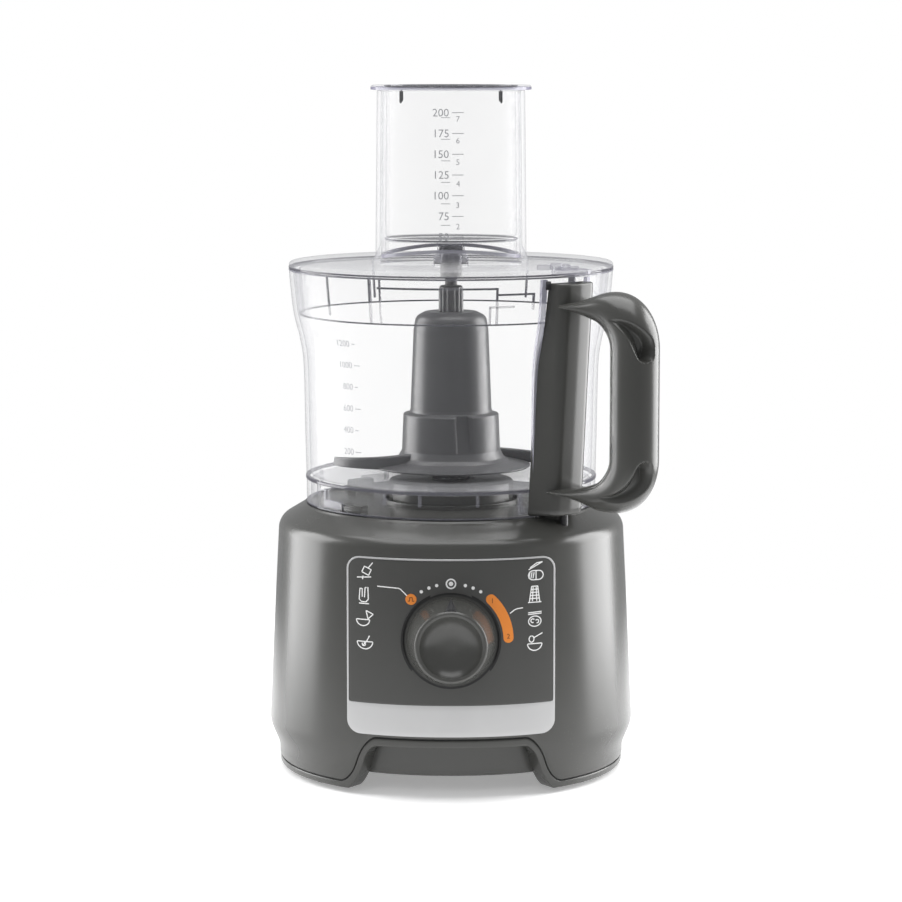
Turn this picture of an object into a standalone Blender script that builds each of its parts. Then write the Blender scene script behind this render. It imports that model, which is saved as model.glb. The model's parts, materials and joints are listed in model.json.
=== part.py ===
"""Compact food processor: motor base with a belt drive, bowl with a side handle, lid, pusher and dough tool.

Metres, +Z up. The bowl's axis stands at (AXIS_X, AXIS_Y), so that the whole object's box is centred on
the origin. The front, with the speed knob, faces -Y, and z = 0 is the table.
"""

import math

import bmesh
import bpy
import numpy as np
from mathutils import Vector

# ---- driving dimensions -------------------------------------------------------------------------
GAP = 0.0003  # between pieces that touch
RUN = 0.0004  # radial room of a turning piece
SLIDE = 0.0008  # room round a piece that slides by hand
WALL = 0.003  # housing wall
CLEAR_WALL = 0.0022  # bowl and lid wall

# motor base
RIM_Z = 0.0025  # underside of the tray rim
RIM_TOP_Z = 0.0058
WAIST_Z = 0.027  # widest level, above the finger recess
SHOULDER_Z = 0.134
SIDE_AT_WAIST = 0.0994
SIDE_AT_SHOULDER, SIDE_AT_RIM = SIDE_AT_WAIST - 0.0054, SIDE_AT_WAIST - 0.0052
FRONT_AT_WAIST = SIDE_AT_WAIST + 0.0008
FRONT_AT_SHOULDER = FRONT_AT_WAIST - 0.0032
SQUARENESS = 2.16  # superellipse power of the plan
SEAT_Z = 0.1441  # deck under the bowl
SEAT_R = 0.0802
HUB_R, HUB_Z = 0.034, 0.1562  # raised centre of the deck
HUB_SOLID_Z = 0.138
DECK_T = 0.0033
BASE_STEPS = 36

# front and back arch
ARCH_HALF, ARCH_FLAT_HALF = 0.0590, 0.0385
ARCH_Z = 0.0272
LIP_T = 0.0041
SEAM = 0.0006
RIM_W = 0.0176
RECESS_DEPTH = 0.012
TRAY_FLOOR_Z, TRAY_FLOOR_T = 0.010, 0.0025
FOOT_R, FOOT_H = 0.007, 0.0022
FOOT_ANGLE = 40.0
SCREW_R = 0.066  # ring of the four tray screws
SCREW_HEAD_R, SCREW_HEAD_T, SCREW_SHANK_R = 0.0035, 0.0025, 0.0017
VENT_COUNT, VENT_W, VENT_LONG = 5, 0.004, 0.044
LUG_DEEP, LUG_HALF, LUG_TALL = 0.006, 0.007, 0.0045
GLAND_R, GLAND_BORE, GLAND_Z = 0.0060, 0.0025, 0.052

# control panel and knob
PANEL_HALF, PANEL_LOW, PANEL_HIGH = 0.0546, 0.0334, 0.127
PANEL_CORNER = 0.0065
BORDER = 0.0011
BAND_TOP = 0.050
KNOB_Z, KNOB_R, KNOB_OUT = 0.0842, 0.0236, 0.0200
KNOB_RECESS = 0.0010
DISH_R, DISH_DEPTH = 0.0174, 0.0042
KNOB_SHAFT_R = 0.0040
KNOB_BOSS = 0.012  # depth of the knob that sits on its shaft

# switchgear
SWITCH_FRONT, SWITCH_DEEP, SWITCH_HALF = 0.0850, 0.022, 0.016
SWITCH_PLATE_T, SWITCH_PLATE_HALF_X, SWITCH_PLATE_HALF_Z = 0.0018, 0.034, 0.014
BOARD_LOW, BOARD_HIGH = (-0.070, -0.052, 0.0435), (-0.026, -0.006, 0.0451)
CAPACITOR_LOW, CAPACITOR_HIGH = (-0.062, -0.044, 0.0454), (-0.036, -0.030, 0.0640)
SAFETY_LOW, SAFETY_HIGH = 0.1090, 0.1285
SAFETY_IN, SAFETY_OUT, SAFETY_HALF = 0.0055, 0.0040, 0.010
COIL_STEPS = 6
FAR = 0.13  # beyond the housing's wall, for cutters
PULSE_ANGLE, FAST_ANGLE = -44.0, 88.0

# drive
CHASSIS_Z, CHASSIS_T = 0.036, 0.003
MOTOR_Y = 0.048
MOTOR_HALF = 0.033
STATOR_LOW, STATOR_HIGH = 0.056, 0.092
AIR_BORE, ARMATURE_R = 0.0215, 0.0208
MOTOR_SHAFT_R = 0.0040
SPINDLE_R = 0.0050
BEARING_OUT = 0.0110
SPINDLE_TOP = 0.1760
PULLEY_RATIO = 4
DRIVE_PULLEY_R = 0.75 * MOTOR_Y
MOTOR_PULLEY_R = DRIVE_PULLEY_R / PULLEY_RATIO
PULLEY_LOW, PULLEY_HIGH = 0.0210, 0.0320
BELT_T = 0.0016
BRACKET_Z, BRACKET_T = 0.116, 0.003
BRACKET_HALF_X, BRACKET_HALF_Y, BRACKET_BORE = 0.011, 0.030, 0.008
COIL_OUT, COIL_IN, COIL_TALL, COIL_SPREAD = 0.030, 0.0235, 0.0075, 60
COMMUTATOR_R, COMMUTATOR_LOW, COMMUTATOR_HIGH = 0.0105, 0.0955, 0.1090
FAN_R, FAN_LOW, FAN_HIGH, FAN_BLADES = 0.0210, 0.0462, 0.0476, 6

# bowl
BOWL_LOW = 0.1445
BOWL_SECTION = ((0.1445, 0.0788), (0.159, 0.0790), (0.182, 0.0795), (0.2185, 0.0802), (0.233, 0.0820),
                (0.247, 0.0854), (0.2600, 0.0870), (0.2717, 0.0880))
BOWL_FLOOR_Z = 0.1592
BOWL_STEPS = 32
LUG_R = BOWL_SECTION[0][1] - CLEAR_WALL - 0.0011  # bayonet lugs on the deck, inside the bowl's skirt
TUNNEL_IN, TUNNEL_TOP = 0.0105, 0.2000

# drive shaft and dough tool
SHAFT_R, SHAFT_TOP = 0.0065, 0.2620
TIP_R, TIP_TOP = 0.0033, 0.2815
TOOL_R_TOP, TOOL_R_LOW, TOOL_TOP = 0.0204, 0.0222, 0.2480
TOOL_COLLAR_R, TOOL_COLLAR_LOW, TOOL_COLLAR_HIGH = 0.0260, 0.1720, 0.1930
TOOL_FOOT_R, TOOL_FOOT_Z = 0.0330, 0.1630
PADDLE_REACH, PADDLE_T, PADDLE_H = 0.0640, 0.0070, 0.0085
PADDLE_START = 35

# lid, feed tube and pusher
LID_Z, LID_T, LID_R = 0.2720, 0.0030, 0.0880
LID_SKIRT_LOW = 0.2470
TUBE_Y = 0.014
TUBE_HALF_X, TUBE_HALF_Y, TUBE_TOP = 0.0408, 0.0335, 0.3672
TUBE_POWER = 2.25
TUBE_STEPS = 28
LID_HUB_R, LID_HUB_TOP = 0.0090, 0.2845
BUSH_R = 0.0058  # outside of the lid's bearing
PUSHER_FLANGE, PUSHER_FLANGE_T = 0.0034, 0.0025
PUSHER_FLOOR_Z, PUSHER_FLOOR_T = 0.2856, 0.0020
PUSHER_SKIRT_Z = 0.2790

# handle, in its own frame: X outwards from the bowl's axis, Y sideways
HANDLE_ANGLE = -46.0
COLUMN_LOW, COLUMN_HIGH = 0.1452, 0.2685
COLUMN_OUT_LOW, COLUMN_OUT_HIGH = 0.0900, 0.0980
COLUMN_HALF_LOW, COLUMN_HALF_HIGH = 0.0170, 0.0120
GRIP_X, GRIP_R = 0.1363, 0.0125
ARM_TOP_Z, ARM_LOW_Z = 0.2570, 0.1580
ARM_T, ARM_W = 0.0050, 0.0100
CORNER_R = 0.0200
ROD_R, ROD_CLEAR, ROD_TRAVEL = 0.0018, 0.0006, 0.0030
ROD_LOW_Z, ROD_HIGH_Z = 0.1462, 0.2655
ROD_X_LOW, ROD_X_HIGH = 0.0860, 0.0930
PLUNGER_R, PLUNGER_X = 0.0022, ROD_X_LOW
SPRING_LOW, SPRING_HIGH, SPRING_R = 0.2340, 0.2560, 0.0032
TAB_REACH, TAB_HALF = 0.0985, 0.0100

# worked out from the driving dimensions
HANDLE_TURN = math.radians(HANDLE_ANGLE)
GLAND_OUT = 0.0020
RIGHT_EDGE = GRIP_X * math.cos(HANDLE_TURN) + GRIP_R
AXIS_X = (SIDE_AT_WAIST - RIGHT_EDGE) / 2
FASCIA_Y_AT_KNOB = FRONT_AT_SHOULDER + (FRONT_AT_WAIST - FRONT_AT_SHOULDER) * (SHOULDER_Z - KNOB_Z) / (
    SHOULDER_Z - WAIST_Z)
KNOB_FRONT = FASCIA_Y_AT_KNOB + KNOB_OUT
AXIS_Y = (KNOB_FRONT - FRONT_AT_WAIST - GLAND_OUT) / 2
PULLEY_GAP = BELT_T + 0.0003

# ---- materials ----------------------------------------------------------------------------------
FINISHES = {
    "body_plastic": ((0.090, 0.090, 0.085), 0.32, 0.0),
    "panel_plastic": ((0.080, 0.080, 0.078), 0.38, 0.0),
    "silver": ((0.74, 0.75, 0.76), 0.28, 0.6),
    "clear": ((0.86, 0.86, 0.90), 0.06, 0.0),
    "rubber": ((0.03, 0.03, 0.03), 0.8, 0.0),
    "tool_plastic": ((0.085, 0.085, 0.090), 0.45, 0.0),
    "steel": ((0.62, 0.62, 0.63), 0.25, 1.0),
    "zinc_plate": ((0.50, 0.52, 0.54), 0.35, 1.0),
    "laminations": ((0.35, 0.36, 0.38), 0.45, 1.0),
    "copper": ((0.72, 0.36, 0.20), 0.3, 1.0),
    "brass": ((0.78, 0.60, 0.30), 0.3, 1.0),
    "nylon": ((0.80, 0.79, 0.74), 0.5, 0.0),
    "black_plastic": ((0.030, 0.030, 0.032), 0.5, 0.0),
    "board": ((0.06, 0.24, 0.10), 0.5, 0.0),
    "carbon": ((0.05, 0.05, 0.055), 0.7, 0.0),
}


def material(name):
    """The named finish, made once."""
    found = bpy.data.materials.get(name)
    if found:
        return found
    colour, roughness, metallic = FINISHES[name]
    made = bpy.data.materials.new(name)
    made.use_nodes = True
    shader = made.node_tree.nodes["Principled BSDF"]
    shader.inputs["Base Color"].default_value = (*colour, 1.0)
    shader.inputs["Roughness"].default_value = roughness
    shader.inputs["Metallic"].default_value = metallic
    if name == "clear":
        shader.inputs["Transmission Weight"].default_value = 1.0
    return made


# ---- modelling helpers --------------------------------------------------------------------------
def placed(name, mesh, finish, parent, at=(0.0, 0.0, 0.0), turn=(0.0, 0.0, 0.0)):
    """A mesh as a named object under its parent, with smooth rounds and sharp edges."""
    mesh.shade_smooth()
    mesh.set_sharp_from_angle(angle=math.radians(35))
    obj = bpy.data.objects.new(name, mesh)
    obj.data.materials.append(material(finish))
    obj.parent = parent
    obj.location = at
    obj.rotation_euler = turn
    bpy.context.scene.collection.objects.link(obj)
    return obj


def meshed(name, work):
    """The bmesh as mesh data, doubles merged and faces outwards."""
    bmesh.ops.remove_doubles(work, verts=work.verts, dist=1e-7)
    bmesh.ops.recalc_face_normals(work, faces=work.faces)
    mesh = bpy.data.meshes.new(name)
    work.to_mesh(mesh)
    work.free()
    return mesh


def skin(name, rings, looped=False):
    """Closed skin over rings of equal point count: capped at both ends, or looped back to the first."""
    work = bmesh.new()
    made = [[work.verts.new(point) for point in ring] for ring in rings]
    last = len(made) if looped else len(made) - 1
    for index in range(last):
        ring, following = made[index], made[(index + 1) % len(made)]
        for side, vertex in enumerate(ring):
            after = (side + 1) % len(ring)
            work.faces.new((vertex, ring[after], following[after], following[side]))
    if not looped:
        work.faces.new(made[0])
        work.faces.new(made[-1])
    return meshed(name, work)


def oval(z, half_x, half_y, power=2.0, steps=48, centre_y=0.0):
    """Superellipse |x/a|^p + |y/b|^p = 1 at height z."""
    turn = np.linspace(0, 2 * math.pi, steps, endpoint=False)
    size = (np.abs(np.cos(turn)) ** power + np.abs(np.sin(turn)) ** power) ** (-1 / power)
    return [(half_x * s * math.cos(t), centre_y + half_y * s * math.sin(t), z) for s, t in zip(size, turn)]


def turned(name, outline, steps=32):
    """Outline of (radius, z) points turned about Z. It starts and ends on the axis, or closes on itself."""
    solid = outline[0][0] == 0.0
    work = bmesh.new()
    corners = [work.verts.new((r, 0.0, z)) for r, z in outline]
    pairs = list(zip(corners, corners[1:] + corners[:1]))
    edges = [work.edges.new(pair) for pair in (pairs[:-1] if solid else pairs)]
    bmesh.ops.spin(work, geom=corners + edges, cent=(0, 0, 0), axis=(0, 0, 1), angle=2 * math.pi,
                   steps=steps, use_merge=True)
    return meshed(name, work)


def tube(name, outer, inner, low, high, steps=24):
    return turned(name, [(inner, low), (outer, low), (outer, high), (inner, high)], steps)


def rod(name, radius, low, high, steps=20):
    return turned(name, [(0.0, low), (radius, low), (radius, high), (0.0, high)], steps)


def prism(name, outline, low, high, along="Z"):
    """Flat outline extruded from low to high along Z, or along Y with the outline in X and Z."""
    work = bmesh.new()
    place = {"Z": lambda u, v: (u, v, low), "Y": lambda u, v: (u, low, v)}[along]
    face = work.faces.new([work.verts.new(place(u, v)) for u, v in outline])
    moved = bmesh.ops.extrude_face_region(work, geom=[face])["geom"]
    step = Vector((0, 0, high - low)) if along == "Z" else Vector((0, high - low, 0))
    bmesh.ops.translate(work, verts=[v for v in moved if isinstance(v, bmesh.types.BMVert)], vec=step)
    return meshed(name, work)


def block(name, low, high):
    """Box between two corners."""
    work = bmesh.new()
    bmesh.ops.create_cube(work, size=1.0)
    size = Vector(high) - Vector(low)
    bmesh.ops.scale(work, verts=work.verts, vec=size)
    bmesh.ops.translate(work, verts=work.verts, vec=Vector(low) + size / 2)
    return meshed(name, work)


def softened(obj, width, segments=2):
    """Rounded edges by a Bevel modifier."""
    bevel = obj.modifiers.new("soft_edges", "BEVEL")
    bevel.width = width
    bevel.segments = segments
    bevel.limit_method = "ANGLE"
    return obj


def boolean(target, other, operation):
    """Boolean with a helper object, which then stays out of the model."""
    other.hide_render = True
    other.display_type = "WIRE"
    step = target.modifiers.new(operation.lower(), "BOOLEAN")
    step.operation = operation
    step.object = other
    step.solver = "EXACT"
    return target


def helper(mesh, parent, at=(0.0, 0.0, 0.0), turn=(0.0, 0.0, 0.0)):
    return placed("helper_" + mesh.name, mesh, "black_plastic", parent, at, turn)


def cut(target, mesh, parent, at=(0.0, 0.0, 0.0), turn=(0.0, 0.0, 0.0)):
    return boolean(target, helper(mesh, parent, at, turn), "DIFFERENCE")


def fuse(target, mesh, parent, at=(0.0, 0.0, 0.0), turn=(0.0, 0.0, 0.0)):
    return boolean(target, helper(mesh, parent, at, turn), "UNION")


def rounded(half_x, low, high, radius, steps=5):
    """Rounded rectangle in X and Z, counter-clockwise."""
    middles = ((half_x - radius, high - radius, 0), (-half_x + radius, high - radius, 90),
               (-half_x + radius, low + radius, 180), (half_x - radius, low + radius, 270))
    return [(x + radius * math.cos(math.radians(start + 90 * k / steps)),
             z + radius * math.sin(math.radians(start + 90 * k / steps)))
            for x, z, start in middles for k in range(steps + 1)]


def empty(name, parent=None, at=(0.0, 0.0, 0.0), turn=(0.0, 0.0, 0.0)):
    obj = bpy.data.objects.new(name, None)
    obj.parent = parent
    obj.location = at
    obj.rotation_euler = turn
    bpy.context.scene.collection.objects.link(obj)
    return obj


# ---- motor base ---------------------------------------------------------------------------------
def base_half(z):
    """Half width and half depth of the motor base at height z, with the finger recess low on the sides."""
    share = (SHOULDER_Z - z) / (SHOULDER_Z - WAIST_Z)
    deep = FRONT_AT_SHOULDER + (FRONT_AT_WAIST - FRONT_AT_SHOULDER) * share
    if z >= WAIST_Z:
        return SIDE_AT_SHOULDER + (SIDE_AT_WAIST - SIDE_AT_SHOULDER) * share, deep
    dip = 0.5 + 0.5 * math.cos(math.pi * max(0.0, z - RIM_TOP_Z - 0.004) / (WAIST_Z - RIM_TOP_Z - 0.004))
    return SIDE_AT_WAIST + (SIDE_AT_RIM - SIDE_AT_WAIST) * dip, min(deep, FRONT_AT_WAIST)


def base_ring(z, inset=0.0, power=SQUARENESS):
    wide, deep = base_half(z)
    return oval(z, wide - inset, deep - inset, power, BASE_STEPS)


def arch_line(shift):
    """Seam from side to side over the front arch: an S-curve up to a flat middle."""
    rise = [k / 6 for k in range(7)]
    left = [(-ARCH_HALF - 0.002 + (ARCH_HALF + 0.002 - ARCH_FLAT_HALF) * k,
             RIM_TOP_Z + (ARCH_Z + LIP_T - RIM_TOP_Z) * (0.5 - 0.5 * math.cos(math.pi * k)) + shift)
            for k in rise]
    return left + [(-x, z) for x, z in reversed(left)]


def motor_housing(axis):
    """Drum with a shoulder, a seat for the bowl and a raised hub, open below."""
    levels = (0.0045, 0.0098, 0.0165, 0.0215, WAIST_Z, 0.080, 0.1265)
    outer = [base_ring(z) for z in levels]
    shoulder = [(0.1308, 0.0005), (0.1332, 0.0020), (0.1350, 0.0050), (0.1380, 0.0085)]
    outer += [base_ring_at(z, SHOULDER_Z, inset) for z, inset in shoulder]
    outer += [oval(0.1415, SEAT_R + 0.0030, SEAT_R + 0.0038, 2.05, BASE_STEPS),
              oval(SEAT_Z, SEAT_R, SEAT_R, 2.0, BASE_STEPS)]
    bore = BEARING_OUT + GAP
    hub = [oval(z, r, r, 2.0, BASE_STEPS) for r, z in (
        (HUB_R + 0.002, SEAT_Z), (HUB_R, SEAT_Z + 0.002), (HUB_R, HUB_Z - 0.0015), (HUB_R - 0.0015, HUB_Z),
        (bore, HUB_Z), (bore, HUB_SOLID_Z), (HUB_R - 0.002, HUB_SOLID_Z), (HUB_R + 0.001, SEAT_Z - DECK_T))]
    inner = [oval(SEAT_Z - DECK_T, SEAT_R - 0.002, SEAT_R - 0.002, 2.0, BASE_STEPS),
             base_ring_at(0.1330, SHOULDER_Z, 0.0095), base_ring_at(0.1290, SHOULDER_Z, WALL + 0.0015)]
    inner += [base_ring(z, WALL) for z in (0.1245,) + levels[-2::-1]]
    mesh = skin("motor_housing", outer + hub + inner, looped=True)
    shell = placed("motor_housing", mesh, "body_plastic", axis)
    edge, under = RIM_TOP_Z + SEAM, -0.02
    below = arch_line(SEAM) + [(FAR, edge), (FAR, under), (-FAR, under), (-FAR, edge)]
    cut(shell, prism("seam_cut", below, -FAR, FAR, "Y"), axis)
    window = rounded(PANEL_HALF + GAP, PANEL_LOW - GAP, PANEL_HIGH + GAP, PANEL_CORNER)
    cut(shell, prism("panel_window", window, -FAR, -FAR / 2, "Y"), axis)
    cut(shell, rod("plunger_hole", PLUNGER_R + RUN, 0.120, 0.160, 12), axis,
        at=(PLUNGER_X * math.cos(HANDLE_TURN), PLUNGER_X * math.sin(HANDLE_TURN), 0.0))
    cut(shell, rod("gland_hole", GLAND_R + GAP, 0.080, FAR, 16), axis, at=(0.0, 0.0, GLAND_Z),
        turn=(-math.pi / 2, 0.0, 0.0))
    for turn in range(4):
        lug = block(f"lug_{turn}", (LUG_R - LUG_DEEP, -LUG_HALF, SEAT_Z - 0.001),
                    (LUG_R, LUG_HALF, SEAT_Z + LUG_TALL))
        fuse(shell, lug, axis, turn=(0.0, 0.0, math.radians(45 + 90 * turn)))
    return shell


def base_ring_at(z, level, inset):
    """The base's outline of one level, drawn at height z and inset."""
    wide, deep = base_half(level)
    return oval(z, wide - inset, deep - inset, SQUARENESS, BASE_STEPS)


def base_tray(axis):
    """Closing tray: rim on four legs, an arched lip front and back, a recessed wall and a vented floor."""
    levels = (RIM_Z, RIM_TOP_Z + 0.004, 0.0165, 0.0215, WAIST_Z, ARCH_Z + 0.008)
    rim = [base_ring(z, 0.0004) for z in levels] + [base_ring(z, RIM_W) for z in reversed(levels)]
    tray = placed("base_tray", skin("base_tray", rim, looped=True), "body_plastic", axis)
    over = 0.08
    above = arch_line(0.0) + [(FAR, RIM_TOP_Z), (FAR, over), (-FAR, over), (-FAR, RIM_TOP_Z)]
    cut(tray, prism("seam_top_cut", above, -FAR, FAR, "Y"), axis)
    web_out, web_in = RECESS_DEPTH, RECESS_DEPTH + 0.0025
    inside = 0.0005
    web = [base_ring_at(z, WAIST_Z, web_out + inside) for z in (RIM_Z + 0.001, TRAY_FLOOR_Z + 0.001)]
    web += [base_ring_at(z, WAIST_Z, web_in - inside) for z in (TRAY_FLOOR_Z + 0.001, RIM_Z + 0.001)]
    fuse(tray, skin("tray_web", web, looped=True), axis)
    under = [(x, z - LIP_T) for x, z in arch_line(0.0)[1:-1]]
    under = [(x * (ARCH_HALF - 0.002) / ARCH_HALF, z) for x, z in under]
    under = [(-ARCH_HALF + 0.002, -0.02)] + under + [(ARCH_HALF - 0.002, -0.02)]
    cut(tray, prism("arch_cut", under, -FAR, FAR, "Y"), axis)
    top = ARCH_Z + 0.0018
    cup = [base_ring_at(z, WAIST_Z, web_out) for z in (TRAY_FLOOR_Z, top)]
    cup += [base_ring_at(z, WAIST_Z, web_in) for z in (top, TRAY_FLOOR_Z + TRAY_FLOOR_T)]
    fuse(tray, skin("tray_cup", cup), axis)
    vents = bmesh.new()
    for index in range(VENT_COUNT):
        slot = bmesh.ops.create_cube(vents, size=1.0)["verts"]
        at_y = MOTOR_Y + 2.2 * VENT_W * (index - (VENT_COUNT - 1) / 2)
        bmesh.ops.scale(vents, verts=slot, vec=(VENT_LONG, VENT_W, 0.02))
        bmesh.ops.translate(vents, verts=slot, vec=(0.0, at_y, TRAY_FLOOR_Z))
    cut(tray, meshed("vents", vents), axis)
    return tray


def feet(axis):
    """Four rubber feet under the legs."""
    corners = (("front_right", 1, -1), ("front_left", -1, -1), ("back_right", 1, 1), ("back_left", -1, 1))
    turn = math.radians(FOOT_ANGLE)
    reach = SIDE_AT_RIM - 0.0085
    profile = [(0.0, 0.0), (FOOT_R - 0.0006, 0.0), (FOOT_R, 0.0006), (FOOT_R, FOOT_H), (0.0, FOOT_H)]
    for name, side, end in corners:
        placed(f"foot_{name}", turned("foot", profile, 16), "rubber", axis,
               at=(side * reach * math.cos(turn), end * reach * math.sin(turn), 0.0))


def tray_screws(axis):
    """Four screws up through the tray's legs into the housing."""
    floor, tip = TRAY_FLOOR_Z + TRAY_FLOOR_T, CHASSIS_Z - 0.001
    profile = [(0.0, floor + GAP), (SCREW_HEAD_R, floor + GAP), (SCREW_HEAD_R, floor + SCREW_HEAD_T),
               (SCREW_SHANK_R, floor + SCREW_HEAD_T), (SCREW_SHANK_R, tip), (0.0, tip)]
    for index in range(4):
        turn = math.radians(45 + 90 * index)
        placed(f"tray_screw_{index + 1}", turned("screw", profile, 12), "steel", axis,
               at=(SCREW_R * math.cos(turn), SCREW_R * math.sin(turn), 0.0))


def panel_skin(name, inset_out, inset_in):
    """Slice of the housing's wall, tall enough for the panel."""
    levels = (PANEL_LOW - 0.004, 0.060, 0.095, PANEL_HIGH + 0.0015)
    rings = [base_ring(z, inset_out) for z in levels]
    rings += [base_ring(z, inset_in) for z in reversed(levels)]
    return skin(name, rings, looped=True)


def control_panel(axis):
    """Printed fascia in the window, with a recess and a hole for the knob."""
    inside = rounded(PANEL_HALF - BORDER - GAP, BAND_TOP + GAP, PANEL_HIGH - BORDER - GAP,
                     PANEL_CORNER - BORDER)
    panel = placed("control_panel", panel_skin("control_panel", 0.0, WALL + 0.001), "panel_plastic", axis)
    boolean(panel, helper(prism("panel_shape", inside, -FAR, -FAR / 2, "Y"), axis), "INTERSECT")
    level, forward = (0.0, 0.0, KNOB_Z), (math.pi / 2, 0.0, 0.0)
    cut(panel, rod("knob_hole", KNOB_SHAFT_R + RUN, FAR / 2, FAR, 24), axis, at=level, turn=forward)
    recess = rod("knob_recess", KNOB_R + KNOB_RECESS, FASCIA_Y_AT_KNOB - 0.0022, FAR, 40)
    cut(panel, recess, axis, at=level, turn=forward)


def panel_trim(axis):
    """Silver frame of the fascia, with a broad blank band below."""
    outside = rounded(PANEL_HALF, PANEL_LOW, PANEL_HIGH, PANEL_CORNER)
    window = rounded(PANEL_HALF - BORDER, BAND_TOP, PANEL_HIGH - BORDER, PANEL_CORNER - BORDER)
    trim = placed("panel_trim", panel_skin("panel_trim", 0.0002, WALL), "silver", axis)
    boolean(trim, helper(prism("trim_shape", outside, -FAR, -FAR / 2, "Y"), axis), "INTERSECT")
    cut(trim, prism("trim_window", window, -FAR - 0.01, -FAR / 2 + 0.01, "Y"), axis)


def knob(axis):
    """Speed knob with a dished face, on a shaft that reaches the rotary switch."""
    centre = empty("knob_axis", axis, at=(0.0, 0.0, KNOB_Z), turn=(math.pi / 2, 0.0, 0.0))
    back, front = FASCIA_Y_AT_KNOB - 0.0012, KNOB_FRONT
    dish = [(0.0, front - DISH_DEPTH), (DISH_R * 0.5, front - DISH_DEPTH * 0.8), (DISH_R, front - 0.0012),
            (DISH_R + 0.0012, front)]
    bore, boss = KNOB_SHAFT_R + GAP, back + KNOB_BOSS
    rim = [(KNOB_R - 0.0022, front), (KNOB_R - 0.0006, front - 0.0010), (KNOB_R, front - 0.0030),
           (KNOB_R, back), (bore, back), (bore, boss), (0.0, boss)]
    placed("speed_knob", turned("speed_knob", dish + rim, 32), "body_plastic", centre)
    shaft = rod("knob_shaft", KNOB_SHAFT_R, SWITCH_FRONT + GAP, boss - GAP, 24)
    placed("knob_shaft", shaft, "steel", centre)


def switchgear(axis):
    """Rotary switch, circuit board, suppressor capacitor and the interlock's safety switch."""
    box = block("rotary_switch", (-SWITCH_HALF, -SWITCH_FRONT, KNOB_Z - SWITCH_HALF),
                (SWITCH_HALF, SWITCH_DEEP - SWITCH_FRONT, KNOB_Z + SWITCH_HALF))
    softened(placed("rotary_switch", box, "black_plastic", axis), 0.002)
    plate = block("switch_bracket",
                  (-SWITCH_PLATE_HALF_X, -SWITCH_FRONT - SWITCH_PLATE_T, KNOB_Z - SWITCH_PLATE_HALF_Z),
                  (SWITCH_PLATE_HALF_X, -SWITCH_FRONT - GAP, KNOB_Z + SWITCH_PLATE_HALF_Z))
    bracket = placed("switch_bracket", plate, "zinc_plate", axis)
    cut(bracket, rod("bracket_hole", KNOB_SHAFT_R + 0.002, FAR / 2, FAR, 20), axis, at=(0.0, 0.0, KNOB_Z),
        turn=(math.pi / 2, 0.0, 0.0))
    placed("control_board", block("control_board", BOARD_LOW, BOARD_HIGH), "board", axis)
    capacitor = block("suppressor_capacitor", CAPACITOR_LOW, CAPACITOR_HIGH)
    softened(placed("suppressor_capacitor", capacitor, "nylon", axis), 0.0015)
    aside = empty("switch_frame", axis, turn=(0.0, 0.0, HANDLE_TURN))
    case = block("safety_switch", (PLUNGER_X - SAFETY_IN, -SAFETY_HALF, SAFETY_LOW),
                 (PLUNGER_X + SAFETY_OUT, SAFETY_HALF, SAFETY_HIGH))
    body = placed("safety_switch", case, "black_plastic", aside)
    at = (PLUNGER_X, 0.0, 0.0)
    cut(body, rod("plunger_pocket", PLUNGER_R + 0.0004, SAFETY_LOW + 0.002, 0.150, 14), aside, at=at)
    spring_low, spring_high = SAFETY_LOW + 0.0025, SAFETY_LOW + 0.0090
    plunger = rod("switch_plunger", PLUNGER_R, spring_high + 0.0005, ROD_LOW_Z - 0.0004, 14)
    placed("switch_plunger", plunger, "black_plastic", aside, at=at)
    finish_coil(spiral("switch_spring", at[:2], spring_low, spring_high, 0.0015, 0.0003, 4), aside)


def spiral(name, centre, low, high, radius, wire, turns):
    """Curve of an upright coil spring from low to high."""
    count = turns * COIL_STEPS + 1
    curve = bpy.data.curves.new(name, "CURVE")
    curve.dimensions = "3D"
    curve.bevel_depth = wire
    curve.bevel_resolution = 1
    curve.use_fill_caps = True
    line = curve.splines.new("POLY")
    line.points.add(count - 1)
    for index, point in enumerate(line.points):
        turn, z = 2 * math.pi * index / COIL_STEPS, low + (high - low) * index / (count - 1)
        point.co = (centre[0] + radius * math.cos(turn), centre[1] + radius * math.sin(turn), z, 1.0)
    return curve


def finish_coil(curve, parent):
    """The coil's object, in steel."""
    obj = bpy.data.objects.new(curve.name, curve)
    curve.materials.append(material("steel"))
    obj.parent = parent
    bpy.context.scene.collection.objects.link(obj)
    return obj


def cord_gland(axis):
    """Gland where the mains lead would enter at the back."""
    inside, outside = -WALL - 0.0006, 0.0004
    flange, end = GLAND_R + 0.0015, inside - 0.003
    profile = [(GLAND_BORE, end), (flange, end), (flange, inside), (GLAND_R, inside), (GLAND_R, outside),
               (GLAND_R + 0.0010, outside), (GLAND_R + 0.0006, GLAND_OUT), (GLAND_BORE, GLAND_OUT)]
    placed("cord_gland", turned("cord_gland", profile, 14), "rubber", axis,
           at=(0.0, base_half(GLAND_Z)[1], GLAND_Z), turn=(-math.pi / 2, 0.0, 0.0))


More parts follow.
